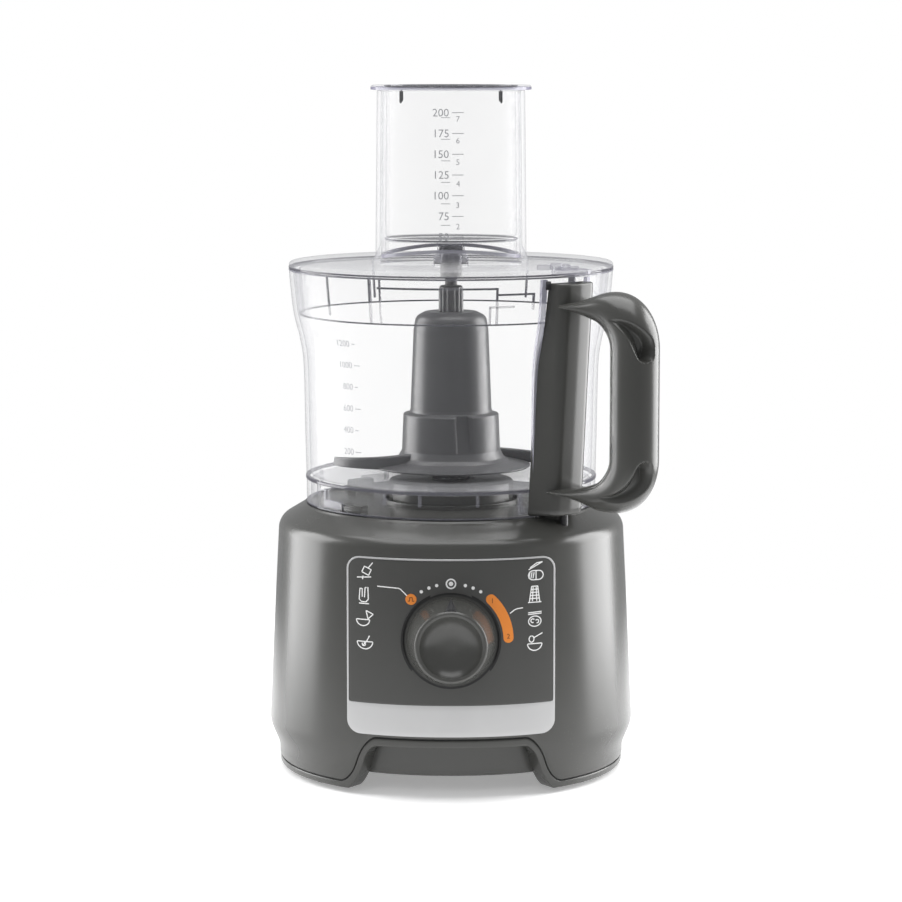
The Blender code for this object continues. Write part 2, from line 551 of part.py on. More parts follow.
# ---- drive --------------------------------------------------------------------------------------
def drive(axis):
    """Universal motor, belt and spindle on a chassis plate."""
    motor = empty("motor_axis", axis, at=(0.0, MOTOR_Y, 0.0))
    plate = [base_ring_at(z, CHASSIS_Z, WALL + 0.0006) for z in (CHASSIS_Z, CHASSIS_Z + CHASSIS_T)]
    chassis = placed("chassis_plate", skin("chassis_plate", plate), "zinc_plate", axis)
    cut(chassis, rod("spindle_hole", BEARING_OUT + GAP, 0.02, 0.06, 28), axis)
    cut(chassis, rod("motor_hole", BEARING_OUT + GAP, 0.02, 0.06, 28), motor)
    bearings(axis, motor)
    spindle = [(0.0, PULLEY_LOW - 0.003), (SPINDLE_R, PULLEY_LOW - 0.003), (SPINDLE_R, SPINDLE_TOP - 0.001),
               (SPINDLE_R - 0.001, SPINDLE_TOP), (0.0, SPINDLE_TOP)]
    placed("drive_spindle", turned("drive_spindle", spindle, 24), "steel", axis)
    pulley = grooved("drive_pulley", DRIVE_PULLEY_R, SPINDLE_R, 28)
    placed("drive_pulley", pulley, "black_plastic", axis)
    pulley = grooved("motor_pulley", MOTOR_PULLEY_R, MOTOR_SHAFT_R, 20)
    placed("motor_pulley", pulley, "zinc_plate", motor)
    placed("drive_belt", belt_mesh(), "rubber", axis)
    stator_and_coils(motor)
    rotor(motor)
    cooling_fan(motor)
    brush_gear(motor)


def bearings(axis, motor):
    """Two plain bearings and a seal for the spindle, two bearings for the rotor."""
    top, low = CHASSIS_Z + CHASSIS_T + 0.006, CHASSIS_Z - 0.001
    spindle, rotor_r = SPINDLE_R + RUN, MOTOR_SHAFT_R + RUN
    lower = tube("bearing", BEARING_OUT, spindle, low, top, 20)
    placed("spindle_bearing_lower", lower, "brass", axis)
    upper = tube("bearing", BEARING_OUT, spindle, HUB_SOLID_Z + 0.002, HUB_Z - 0.003, 20)
    placed("spindle_bearing_upper", upper, "brass", axis)
    seal = tube("seal", BEARING_OUT - 0.0005, spindle, HUB_Z - 0.0027, HUB_Z + 0.0003, 20)
    placed("spindle_seal", seal, "rubber", axis)
    lower = tube("bearing", BEARING_OUT, rotor_r, low, top, 20)
    placed("rotor_bearing_lower", lower, "steel", motor)
    upper = tube("bearing", BRACKET_BORE, rotor_r, BRACKET_Z - 0.003, BRACKET_Z + BRACKET_T + 0.001, 24)
    placed("rotor_bearing_upper", upper, "steel", motor)


def stator_and_coils(motor):
    """Laminated core with the rotor's bore, and a coil above and below on each side."""
    core = block("stator_core", (-MOTOR_HALF, -MOTOR_HALF, STATOR_LOW), (MOTOR_HALF, MOTOR_HALF, STATOR_HIGH))
    stator = placed("stator_core", core, "laminations", motor)
    softened(stator, 0.006, 3)
    cut(stator, rod("air_bore", AIR_BORE, 0.03, 0.12, 36), motor)
    ends = (("lower", STATOR_LOW - COIL_TALL, STATOR_LOW - GAP),
            ("upper", STATOR_HIGH + GAP, STATOR_HIGH + COIL_TALL))
    arc = [math.radians(COIL_SPREAD * (1 - k / 4)) for k in range(9)]
    for side, name in ((-1, "left"), (1, "right")):
        ring = [(side * COIL_OUT * math.cos(t), COIL_OUT * math.sin(t)) for t in arc]
        ring += [(side * COIL_IN * math.cos(t), COIL_IN * math.sin(t)) for t in reversed(arc)]
        for end, low, high in ends:
            placed(f"field_coil_{name}_{end}", prism("field_coil", ring, low, high), "copper", motor)


def rotor(motor):
    """Motor shaft with the armature and the commutator on it."""
    low, high = PULLEY_LOW - 0.002, BRACKET_Z + 0.007
    shaft = [(0.0, low), (MOTOR_SHAFT_R, low), (MOTOR_SHAFT_R, high), (0.0, high)]
    placed("motor_shaft", turned("motor_shaft", shaft, 24), "steel", motor)
    bore = MOTOR_SHAFT_R + GAP
    armature = tube("armature", ARMATURE_R, bore, STATOR_LOW - 0.001, STATOR_HIGH + 0.001, 36)
    placed("armature", armature, "laminations", motor)
    commutator = tube("commutator", COMMUTATOR_R, bore, COMMUTATOR_LOW, COMMUTATOR_HIGH, 32)
    placed("commutator", commutator, "copper", motor)


def brush_gear(motor):
    """Bracket for the upper bearing, and a carbon brush in a holder on each side."""
    bar = block("end_bracket", (-BRACKET_HALF_X, -BRACKET_HALF_Y, BRACKET_Z),
                (BRACKET_HALF_X, BRACKET_HALF_Y, BRACKET_Z + BRACKET_T))
    bracket = placed("end_bracket", bar, "zinc_plate", motor)
    for side in (-1, 1):
        low_y, high_y = sorted((side * (BRACKET_HALF_Y - 0.0025), side * BRACKET_HALF_Y))
        leg = block("leg", (-0.006, low_y, STATOR_HIGH + GAP), (0.006, high_y, BRACKET_Z + 0.001))
        fuse(bracket, leg, motor)
    cut(bracket, rod("bracket_bore", BRACKET_BORE + GAP, 0.10, FAR, 24), motor)
    for side, name in ((-1, "left"), (1, "right")):
        turn = (0.0, 0.0, side * math.pi / 2)
        frame = block("brush_holder", (COMMUTATOR_R + 0.0030, -0.0050, 0.0965), (0.0260, 0.0050, 0.1080))
        holder = placed(f"brush_holder_{name}", frame, "brass", motor, turn=turn)
        slot = block("brush_slot", (0.010, -0.0033, 0.0985), (0.0225, 0.0033, 0.1058))
        cut(holder, slot, motor, turn=turn)
        brush = block("carbon_brush", (COMMUTATOR_R + 0.0004, -0.0030, 0.0988), (0.0215, 0.0030, 0.1055))
        placed(f"carbon_brush_{name}", brush, "carbon", motor, turn=turn)


def grooved(name, radius, bore, steps):
    """Pulley with V grooves round it, between two low flanges."""
    grooves = []
    count = 2
    pitch = (PULLEY_HIGH - PULLEY_LOW - 0.002) / count
    for index in range(count):
        z = PULLEY_LOW + 0.001 + pitch * index
        grooves += [(radius, z), (radius - 0.0011, z + pitch / 2)]
    outline = [(bore + GAP, PULLEY_LOW), (radius, PULLEY_LOW)] + grooves
    outline += [(radius, PULLEY_HIGH - 0.001), (radius, PULLEY_HIGH), (bore + GAP, PULLEY_HIGH)]
    return turned(name, outline, steps)


def belt_mesh():
    """Belt round both pulleys: two arcs joined by tangents, as a looped strap."""
    lean = math.asin((DRIVE_PULLEY_R - MOTOR_PULLEY_R) / MOTOR_Y)

    def loop(extra, z):
        big = [math.pi - lean + (math.pi + 2 * lean) * k / 20 for k in range(21)]
        small = [lean + (math.pi - 2 * lean) * k / 10 for k in range(11)]
        around = [(DRIVE_PULLEY_R + extra, 0.0, t) for t in big]
        around += [(MOTOR_PULLEY_R + extra, MOTOR_Y, t) for t in small]
        return [(r * math.cos(t), y + r * math.sin(t), z) for r, y, t in around]

    low, high = PULLEY_LOW + 0.001, PULLEY_HIGH - 0.001
    near, far = 0.0003, 0.0003 + BELT_T
    loops = [loop(near, low), loop(far, low), loop(far, high), loop(near, high)]
    return skin("drive_belt", loops, looped=True)


def cooling_fan(motor):
    """Cooling fan under the armature: a disc with six ribs, fused on a hub."""
    disc = tube("cooling_fan", FAN_R, MOTOR_SHAFT_R + GAP, FAN_LOW, FAN_HIGH, 24)
    fan = placed("cooling_fan", disc, "nylon", motor)
    for index in range(FAN_BLADES):
        blade = block(f"fan_blade_{index}", (0.0060, -0.0006, FAN_LOW - 0.0007),
                      (FAN_R - 0.0005, 0.0006, FAN_HIGH - 0.0006))
        fuse(fan, blade, motor, turn=(0.0, 0.0, math.radians(360 / FAN_BLADES * index)))


# ---- bowl and handle ----------------------------------------------------------------------------
def bowl_radius(z):
    """Outer radius of the bowl's wall at height z."""
    heights, radii = zip(*BOWL_SECTION)
    return float(np.interp(z, heights, radii))


def bowl(axis):
    """Clear bowl: flared wall, floor, a skirt that sits on the deck and a tunnel over the spindle."""
    wall = [(r, z) for z, r in BOWL_SECTION]
    top_z, top_r = BOWL_SECTION[-1]
    inside = [(top_r - CLEAR_WALL, top_z)]
    inside += [(r - CLEAR_WALL, z) for z, r in reversed(BOWL_SECTION[2:-1])]
    floor_r = BOWL_SECTION[1][1] - CLEAR_WALL
    inside += [(floor_r, BOWL_FLOOR_Z + 0.004), (floor_r - 0.004, BOWL_FLOOR_Z)]
    tunnel_out = TUNNEL_IN + CLEAR_WALL
    middle = [(tunnel_out, BOWL_FLOOR_Z), (tunnel_out, TUNNEL_TOP), (TUNNEL_IN, TUNNEL_TOP),
              (TUNNEL_IN, BOWL_FLOOR_Z - CLEAR_WALL)]
    skirt_in = BOWL_SECTION[0][1] - CLEAR_WALL
    below = [(skirt_in, BOWL_FLOOR_Z - CLEAR_WALL), (skirt_in, BOWL_LOW)]
    placed("bowl", turned("bowl", wall + inside + middle + below, BOWL_STEPS), "clear", axis)


def handle(axis):
    """Column on the bowl's wall with the interlock rod inside, and a looped grip."""
    frame = empty("handle_frame", axis, turn=(0.0, 0.0, HANDLE_TURN))
    rings = []
    for z in (COLUMN_LOW, 0.170, 0.200, 0.235, COLUMN_HIGH):
        share = (z - COLUMN_LOW) / (COLUMN_HIGH - COLUMN_LOW)
        out = COLUMN_OUT_LOW + (COLUMN_OUT_HIGH - COLUMN_OUT_LOW) * share
        half = COLUMN_HALF_LOW + (COLUMN_HALF_HIGH - COLUMN_HALF_LOW) * share
        near = COLUMN_OUT_LOW - 0.018
        rings.append([(near, -half - 0.001, z), (out - 0.005, -half, z), (out - 0.0012, -half * 0.6, z),
                      (out, 0.0, z), (out - 0.0012, half * 0.6, z), (out - 0.005, half, z),
                      (near, half + 0.001, z)])
    column = placed("handle_column", skin("handle_column", rings), "body_plastic", frame)
    gap = GAP + 0.0001
    wall = [(r + gap, z) for z, r in BOWL_SECTION]
    seat = [(0.0, BOWL_LOW - 0.01), (wall[0][0], BOWL_LOW - 0.01)] + wall
    seat += [(wall[-1][0], LID_Z + 0.02), (0.0, LID_Z + 0.02)]
    cut(column, turned("bowl_seat", seat, BOWL_STEPS), axis)
    lean = (ROD_X_HIGH - ROD_X_LOW) / (ROD_HIGH_Z - ROD_LOW_Z)
    turn = (0.0, math.atan(lean), 0.0)
    foot = (ROD_X_LOW, 0.0, ROD_LOW_Z)
    cut(column, rod("rod_channel", ROD_R + ROD_CLEAR, -0.02, 0.16, 16), frame, at=foot, turn=turn)
    rise = math.hypot(1.0, lean)
    low, high = ((z - ROD_LOW_Z) * rise for z in (SPRING_LOW - 0.0003, LID_Z + 0.028))
    cut(column, rod("spring_pocket", SPRING_R + 0.0009, low, high, 16), frame, at=foot, turn=turn)
    low, high = ((z - ROD_LOW_Z) * rise for z in (SPRING_HIGH + 0.0006, SPRING_HIGH + 0.0030))
    end = (ROD_HIGH_Z - ROD_LOW_Z) * rise
    profile = [(0.0, 0.0), (ROD_R, 0.0), (ROD_R, low), (SPRING_R + 0.0003, low), (SPRING_R + 0.0003, high),
               (ROD_R, high), (ROD_R, end), (0.0, end)]
    placed("interlock_rod", turned("interlock_rod", profile, 14), "black_plastic", frame, at=foot, turn=turn)
    low, high = ((z - ROD_LOW_Z) * rise for z in (SPRING_LOW, SPRING_HIGH))
    coil = spiral("interlock_spring", (0.0, 0.0), low, high, SPRING_R - 0.0004, 0.00035, 5)
    spring = finish_coil(coil, frame)
    spring.location = foot
    spring.rotation_euler = turn
    grip(frame)


def grip(frame):
    """Looped grip: an oval section carried from the column's top, down the outside and back in."""
    inner_top = COLUMN_OUT_HIGH + GAP - 0.0006
    inner_low = COLUMN_OUT_LOW + 0.0014
    path = [(inner_top, ARM_TOP_Z), ((inner_top + GRIP_X) / 2, ARM_TOP_Z)]
    path += [(GRIP_X - CORNER_R + CORNER_R * math.sin(t), ARM_TOP_Z - CORNER_R + CORNER_R * math.cos(t))
             for t in np.radians([15, 35, 55, 75, 90])]
    path += [(GRIP_X, 0.215), (GRIP_X, 0.195)]
    path += [(GRIP_X - CORNER_R + CORNER_R * math.cos(t), ARM_LOW_Z + CORNER_R - CORNER_R * math.sin(t))
             for t in np.radians([0, 15, 35, 55, 75])]
    path += [((inner_low + GRIP_X) / 2, ARM_LOW_Z), (inner_low, ARM_LOW_Z)]
    points = np.array(path)
    ahead = np.gradient(points, axis=0)
    ahead /= np.linalg.norm(ahead, axis=1)[:, None]
    ahead[0] = ahead[1] = (1.0, 0.0)
    ahead[-1] = ahead[-2] = (-1.0, 0.0)
    rings = []
    around = np.linspace(0, 2 * math.pi, 16, endpoint=False)
    for (x, z), (dx, dz) in zip(points, ahead):
        share = min(1.0, max(0.0, (x - inner_low) / (GRIP_X - inner_low))) ** 1.5
        thick, wide = ARM_T + (GRIP_R - ARM_T) * share, ARM_W + (GRIP_R - ARM_W) * share
        rings.append([(x - thick * math.cos(t) * dz, wide * math.sin(t), z + thick * math.cos(t) * dx)
                      for t in around])
    placed("handle_grip", skin("handle_grip", rings), "body_plastic", frame)


# ---- drive shaft and tool -----------------------------------------------------------------------
def shaft_and_tool(axis):
    """Detachable drive shaft over the spindle, and the dough tool on it."""
    tube_r = TUNNEL_IN - RUN * 1.5
    bore = SPINDLE_R + RUN
    low = HUB_Z + 0.0012
    collar = TUNNEL_IN + 0.0015
    profile = [(0.0, SPINDLE_TOP + 0.001), (bore, SPINDLE_TOP + 0.001), (bore, low), (tube_r, low),
               (tube_r, TUNNEL_TOP + 0.0008), (collar, TUNNEL_TOP + 0.0008), (collar, TUNNEL_TOP + 0.003),
               (SHAFT_R, TUNNEL_TOP + 0.004), (SHAFT_R, SHAFT_TOP - 0.001), (SHAFT_R - 0.001, SHAFT_TOP),
               (TIP_R, SHAFT_TOP), (TIP_R, TIP_TOP - 0.001), (TIP_R - 0.001, TIP_TOP), (0.0, TIP_TOP)]
    shaft = placed("drive_shaft", turned("drive_shaft", profile, 20), "tool_plastic", axis)
    for index in range(6):
        flute = rod(f"flute_{index}", 0.0011, TOOL_TOP + 0.001, SHAFT_TOP + 0.004, 8)
        turn = math.radians(60 * index)
        cut(shaft, flute, axis, at=(SHAFT_R * math.cos(turn), SHAFT_R * math.sin(turn), 0.0))

    inside = TUNNEL_IN + CLEAR_WALL + SLIDE
    roof = TUNNEL_TOP + 0.0060
    hub = [(inside, TOOL_FOOT_Z), (TOOL_FOOT_R, TOOL_FOOT_Z), (TOOL_FOOT_R, TOOL_FOOT_Z + 0.002),
           (TOOL_COLLAR_R + 0.001, TOOL_COLLAR_LOW), (TOOL_COLLAR_R, TOOL_COLLAR_HIGH - 0.001),
           (TOOL_COLLAR_R - 0.001, TOOL_COLLAR_HIGH), (TOOL_R_LOW, TOOL_COLLAR_HIGH + 0.0005),
           (TOOL_R_TOP, TOOL_TOP - 0.008), (TOOL_R_TOP - 0.0018, TOOL_TOP - 0.0030),
           (TOOL_R_TOP - 0.006, TOOL_TOP), (SHAFT_R + GAP, TOOL_TOP), (SHAFT_R + GAP, roof), (inside, roof)]
    tool = placed("dough_tool", turned("dough_tool", hub, 24), "tool_plastic", axis)
    for index in range(2):
        fuse(tool, paddle_mesh(index), axis, turn=(0.0, 0.0, math.radians(PADDLE_START + 180 * index)))


def paddle_mesh(index):
    """Curved kneading paddle, swept back from the hub."""
    steps = np.linspace(0.0, 1.0, 7)
    near = TOOL_COLLAR_R - 0.004
    reach = near + (PADDLE_REACH - near) * steps
    swing = -0.55 * steps ** 1.4
    rings = []
    for r, turn, step in zip(reach, swing, steps):
        across = np.array((-math.sin(turn), math.cos(turn)))
        centre = np.array((r * math.cos(turn), r * math.sin(turn)))
        half = PADDLE_T * (0.75 - 0.3 * step)
        top = TOOL_FOOT_Z + PADDLE_H * (1 - 0.25 * step)
        (ax, ay), (bx, by) = centre - across * half, centre + across * half
        rings.append([(ax, ay, TOOL_FOOT_Z), (bx, by, TOOL_FOOT_Z), (bx, by, top - 0.003),
                      (bx - across[0] * half * 0.6, by - across[1] * half * 0.6, top),
                      (ax + across[0] * half * 0.6, ay + across[1] * half * 0.6, top), (ax, ay, top - 0.003)])
    return skin(f"paddle_{index}", rings)


# ---- lid and pusher -----------------------------------------------------------------------------
def lid(axis):
    """Clear lid: a skirt inside the bowl, an oval feed tube, a hub for the shaft's tip and a locking tab."""
    levels = (LID_SKIRT_LOW, 0.2600, LID_Z - 0.001)
    skirt_out = [(bowl_radius(z) - CLEAR_WALL - SLIDE, z) for z in levels]
    skirt_in = [(r - CLEAR_WALL, z) for r, z in reversed(skirt_out)]
    bore = BUSH_R + GAP
    top = LID_Z + GAP + LID_T
    plate = skirt_out + [(skirt_out[-1][0], LID_Z + GAP), (LID_R, LID_Z + GAP), (LID_R, top - 0.0008),
                         (LID_R - 0.0008, top)]
    roof, hub_in, hub_low = LID_HUB_TOP - 0.0015, LID_HUB_R - 0.0005, LID_Z - 0.006
    under = [(0.0, roof), (bore, roof), (bore, hub_low), (hub_in, hub_low), (hub_in, LID_Z + GAP)]
    over = [(LID_HUB_R, top), (LID_HUB_R, roof), (LID_HUB_R - 0.002, LID_HUB_TOP), (0.0, LID_HUB_TOP)]
    outline = under + skirt_in + plate + over
    cover = placed("lid", turned("lid", outline, BOWL_STEPS), "clear", axis)
    chute = [oval(z, TUBE_HALF_X + more, TUBE_HALF_Y + more, TUBE_POWER, TUBE_STEPS, TUBE_Y)
             for z, more in ((LID_Z + 0.001, 0.0005), (TUBE_TOP, -0.0005))]
    inside = [oval(z, TUBE_HALF_X - CLEAR_WALL, TUBE_HALF_Y - CLEAR_WALL, TUBE_POWER, TUBE_STEPS, TUBE_Y)
              for z in (TUBE_TOP, LID_Z + 0.001)]
    fuse(cover, skin("feed_tube", chute + inside, looped=True), axis)
    room = CLEAR_WALL + 0.0002
    mouth = oval(0.0, TUBE_HALF_X - room, TUBE_HALF_Y - room, TUBE_POWER, TUBE_STEPS, TUBE_Y)
    floor_y = LID_HUB_R + 0.003
    mouth = [(x, max(y, floor_y)) for x, y, _ in mouth if y > floor_y - 0.004]
    cut(cover, prism("mouth", mouth, LID_Z - 0.004, LID_Z + LID_T + 0.0016), axis)
    frame = empty("tab_frame", axis, turn=(0.0, 0.0, HANDLE_TURN))
    tab = [(LID_R - 0.003, -TAB_HALF), (TAB_REACH - 0.002, -TAB_HALF), (TAB_REACH, -TAB_HALF + 0.002),
           (TAB_REACH, TAB_HALF - 0.002), (TAB_REACH - 0.002, TAB_HALF), (LID_R - 0.003, TAB_HALF)]
    fuse(cover, prism("tab", tab, LID_Z + 0.0006, top - 0.0002), frame)
    fuse(cover, rod("peg", 0.0016, ROD_HIGH_Z + 0.0006, LID_Z + 0.0015, 12), frame, at=(ROD_X_HIGH, 0.0, 0.0))
    bush = tube("lid_bearing", BUSH_R, TIP_R + RUN, LID_Z - 0.0055, LID_HUB_TOP - 0.0018, 24)
    placed("lid_bearing", bush, "nylon", axis)


def pusher(axis):
    """Clear measuring cup that slides in the feed tube and rests on its top by a flange."""
    room = CLEAR_WALL + SLIDE
    out_x, out_y = TUBE_HALF_X - room, TUBE_HALF_Y - room
    floor_top = PUSHER_FLOOR_Z + PUSHER_FLOOR_T
    top = TUBE_TOP + GAP + PUSHER_FLANGE_T
    wall = 0.0020

    def ring(z, grow):
        return oval(z, out_x + grow, out_y + grow, TUBE_POWER, TUBE_STEPS, TUBE_Y)

    flange = room + PUSHER_FLANGE
    outside = [ring(PUSHER_SKIRT_Z, -0.0006), ring(TUBE_TOP + GAP, 0.0), ring(TUBE_TOP + GAP, flange),
               ring(top, flange)]
    cup = outside + [ring(top, -wall), ring(floor_top, -wall - 0.0006)]
    body = placed("pusher", skin("pusher", cup), "clear", axis)
    hollow = [ring(PUSHER_SKIRT_Z - 0.01, -wall - 0.0006), ring(PUSHER_FLOOR_Z, -wall - 0.0006)]
    cut(body, skin("pusher_hollow", hollow), axis)


# ---- assembly -----------------------------------------------------------------------------------
def main():
    """Clears the scene and builds every piece."""
    for obj in list(bpy.data.objects):
        bpy.data.objects.remove(obj, do_unlink=True)
    axis = empty("bowl_axis", at=(AXIS_X, AXIS_Y, 0.0))
    motor_housing(axis)
    base_tray(axis)
    feet(axis)
    tray_screws(axis)
    control_panel(axis)
    panel_trim(axis)
    knob(axis)
    switchgear(axis)
    cord_gland(axis)
    drive(axis)
    bowl(axis)
    handle(axis)
    shaft_and_tool(axis)
    lid(axis)
    pusher(axis)


main()
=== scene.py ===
"""Looks of a compact food processor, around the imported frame.

Shapes are worked out in millimetres about the bowl's axis, with the front towards -Y, and set down in metres.
"""

import math

import bmesh
import bpy
import numpy as np
from mathutils import Matrix, Vector
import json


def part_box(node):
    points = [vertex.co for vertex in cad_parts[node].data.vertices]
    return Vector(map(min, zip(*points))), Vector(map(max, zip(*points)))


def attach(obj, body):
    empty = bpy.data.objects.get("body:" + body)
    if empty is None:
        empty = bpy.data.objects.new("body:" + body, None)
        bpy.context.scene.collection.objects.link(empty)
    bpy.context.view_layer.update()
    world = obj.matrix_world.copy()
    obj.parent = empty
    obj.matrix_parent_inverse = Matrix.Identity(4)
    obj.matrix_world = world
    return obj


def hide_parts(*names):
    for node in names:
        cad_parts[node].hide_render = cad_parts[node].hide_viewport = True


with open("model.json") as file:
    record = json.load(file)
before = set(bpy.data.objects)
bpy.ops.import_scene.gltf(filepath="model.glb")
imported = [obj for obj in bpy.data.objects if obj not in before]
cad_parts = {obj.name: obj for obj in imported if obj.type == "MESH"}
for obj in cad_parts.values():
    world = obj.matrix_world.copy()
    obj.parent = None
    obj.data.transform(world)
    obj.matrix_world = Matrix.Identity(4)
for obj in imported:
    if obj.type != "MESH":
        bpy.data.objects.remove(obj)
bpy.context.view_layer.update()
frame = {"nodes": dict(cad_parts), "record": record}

MM = 0.001
TAU = 2 * math.pi
BOWL_BOX = np.array(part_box("bowl")) / MM
HOME = np.array(((BOWL_BOX[0][0] + BOWL_BOX[1][0]) / 2, (BOWL_BOX[0][1] + BOWL_BOX[1][1]) / 2, 0.0))
HANDLE_TURN = math.radians(-46.0)

# ---- camera: focal length and the picture's side in the same unit, then metres and radians
FOCAL, FRAME_SIDE = 3257.0, 902.0
CAMERA_AWAY, CAMERA_HIGH, CAMERA_TILT = 1.767, 0.397, math.radians(7.28)

# ---- motor base, in millimetres
RIM_Z, RIM_TOP_Z, WAIST_Z, WALL_TOP, SHOULDER_Z = 2.5, 5.8, 27.0, 126.5, 134.0
SIDE_RIM, SIDE_WAIST, SIDE_SHOULDER = 94.2, 99.4, 94.0
FRONT_WAIST, FRONT_SHOULDER = 100.2, 97.0
SQUARENESS = 2.16
SEAT_R, SEAT_Z = 80.2, 144.1
HUB_R, HUB_Z, SPINDLE_HOLE_R = 34.0, 156.2, 11.3
ARCH_HALF, ARCH_FLAT, ARCH_TOP, LIP_T, SEAM = 59.0, 38.5, 27.2, 4.1, 0.75
ARCH_READ_Z = 20.0  # the outline at this height gives the arch its x
EDGE_ROLL = 0.8
RECESS, TRAY_FLOOR_Z, TRAY_SKIN, TRAY_MIDDLE = 12.0, 10.0, 2.5, 99.0
TRAY_SET_IN = 0.4

# ---- control panel
PANEL_HALF, PANEL_LOW, PANEL_HIGH, PANEL_CORNER = 54.6, 33.4, 127.0, 7.0
BORDER, BAND_TOP = 1.0, 50.0
KNOB_Z, KNOB_OUT, KNOB_RING = 84.2, 20.0, 24.7
DISH_R, DISH_DEPTH = 15.9, 6.4
DIAL_R = 30.0
LINE_W = 0.55
PRINT_LIFT, PRINT_THICK = 0.34, 0.16

# ---- bowl, lid, pusher, tool
BOWL_WALL = ((144.5, 78.8), (159.0, 79.0), (182.0, 79.5), (218.5, 80.2), (233.0, 82.0), (247.0, 85.4),
             (260.0, 87.0), (271.7, 88.0))
CLEAR_T = 2.2
BOWL_FLOOR = 159.2
TUNNEL_IN, TUNNEL_TOP = 10.5, 200.0
LID_Z, LID_TOP, LID_R, LID_SKIRT = 272.3, 275.3, 88.0, 247.0
TUBE_Y, TUBE_X_HALF, TUBE_Y_HALF, TUBE_TOP, TUBE_POWER = 14.0, 40.8, 33.5, 367.2, 2.25
PUSHER_FLOOR, PUSHER_TOP, PUSHER_SKIRT = 285.6, 370.0, 279.0
GRIP_X, GRIP_R, GRIP_CORNER = 136.3, 12.5, 21.0
GRIP_TOP_Z, GRIP_LOW_Z = 256.6, 158.4
GRIP_SCOOP_TOP, GRIP_SCOOP_LOW = (35.0, 52.5), (134.5, 115.0)
SCOOP_BEARING = -19.0
VENT_COUNT, VENT_STEP, VENT_Y, VENT_SIZE = 5, 8.8, 48.0, (22.0, 2.0)
SCOOP_DEPTH, SCOOP_R = 7.5, 5.9
BLADE_START, BLADE_THICK, BLADE_HALF = 92.0, 1.9, 14.5
GROOVE_BEARING, GROOVE_HALF, GROOVE_DEPTH = 126.0, 0.9, 0.55
COLUMN_FOOT, COLUMN_LOW, COLUMN_TOP = 145.2, 145.4, 268.5
ROD_LOW, ROD_HIGH = (86.0, 146.2), (93.0, 265.5)
PADDLE_ROOT, PADDLE_REACH, PADDLE_HALF, PADDLE_TALL, PADDLE_SWEEP = 22.0, 63.0, 3.2, 7.6, 0.62
PADDLE_Z = 163.4
LID_FLUTES, SHAFT_FLUTES = 12, 14
BOWL_MARK_BEARING, BOWL_MARK_TOP, BOWL_MARK_STEP = -131.0, 236.0, 11.5
PUSHER_MARK_LOW, PUSHER_MARK_STEP = 289.3, 11.08
PUSHER_GAP, PUSHER_WALL, PUSHER_ARCH = 0.8, 2.0, 4.2
PUSHER_RIB_X, PUSHER_RIB_SPAN = 27.0, 39.0

# ---- ribs on the lid's skirt: low and high edge, first and last bearing in degrees, thickness, columns, rows
SKIRT_RIBS = ((247.2, 271.5, -121.8, -120.9, 1.4, 3, 12),
              (247.2, 271.5, -117.3, -116.7, 1.0, 3, 12),
              (265.6, 266.6, -118.0, -73.0, 1.2, 20, 2),
              (262.4, 263.4, -72.5, -58.0, 1.2, 12, 2),
              (257.0, 266.6, -73.2, -72.5, 1.2, 3, 4),
              (254.6, 263.4, -58.4, -57.7, 1.2, 3, 4),
              (247.2, 256.4, -75.7, -75.1, 1.6, 3, 6),
              (247.2, 256.4, -73.0, -72.4, 1.6, 3, 6),
              (256.0, 257.0, -75.7, -66.0, 1.2, 6, 2),
              (250.0, 271.0, -143.0, -142.4, 1.0, 3, 8),
              (250.0, 271.0, 58.0, 58.7, 1.0, 3, 8),
              (250.0, 271.0, 122.0, 122.7, 1.0, 3, 8))

# ---- blocks on the locking tab: centre, half sizes, low and high end, turn in radians
TAB_BLOCKS = (((80.0, -9.0), (4.2, 1.6), LID_TOP - 0.2, 277.6, 0.5),
              ((80.5, -1.0), (3.4, 1.6), LID_TOP - 0.2, 278.2, 0.2),
              ((79.5, 7.0), (4.2, 1.6), LID_TOP - 0.2, 277.2, -0.4),
              ((87.5, -5.0), (2.4, 2.0), LID_TOP - 0.2, 276.8, 0.0),
              ((87.5, 5.0), (2.4, 2.0), LID_TOP - 0.2, 276.6, 0.0),
              ((91.0, 0.0), (1.6, 1.6), 266.6, LID_Z + 0.9, 0.0))


# ---- shapes -------------------------------------------------------------------------------------
def turns(count=720):
    """Even bearings once round, in radians."""
    return np.linspace(0.0, TAU, count, endpoint=False)


def level(x, y, z):
    """Points (x, y) at one height, or each at its own."""
    return np.stack((x, y, np.broadcast_to(z, np.shape(x))), axis=-1)


def oval(turn, half_x, half_y, power=2.0):
    """Superellipse: a point at angle t stands at (a cos t, b sin t) / (|cos t|^p + |sin t|^p)^(1/p)."""
    across, along = np.cos(turn), np.sin(turn)
    size = (np.abs(across) ** power + np.abs(along) ** power) ** (-1 / power)
    return half_x * across * size, half_y * along * size


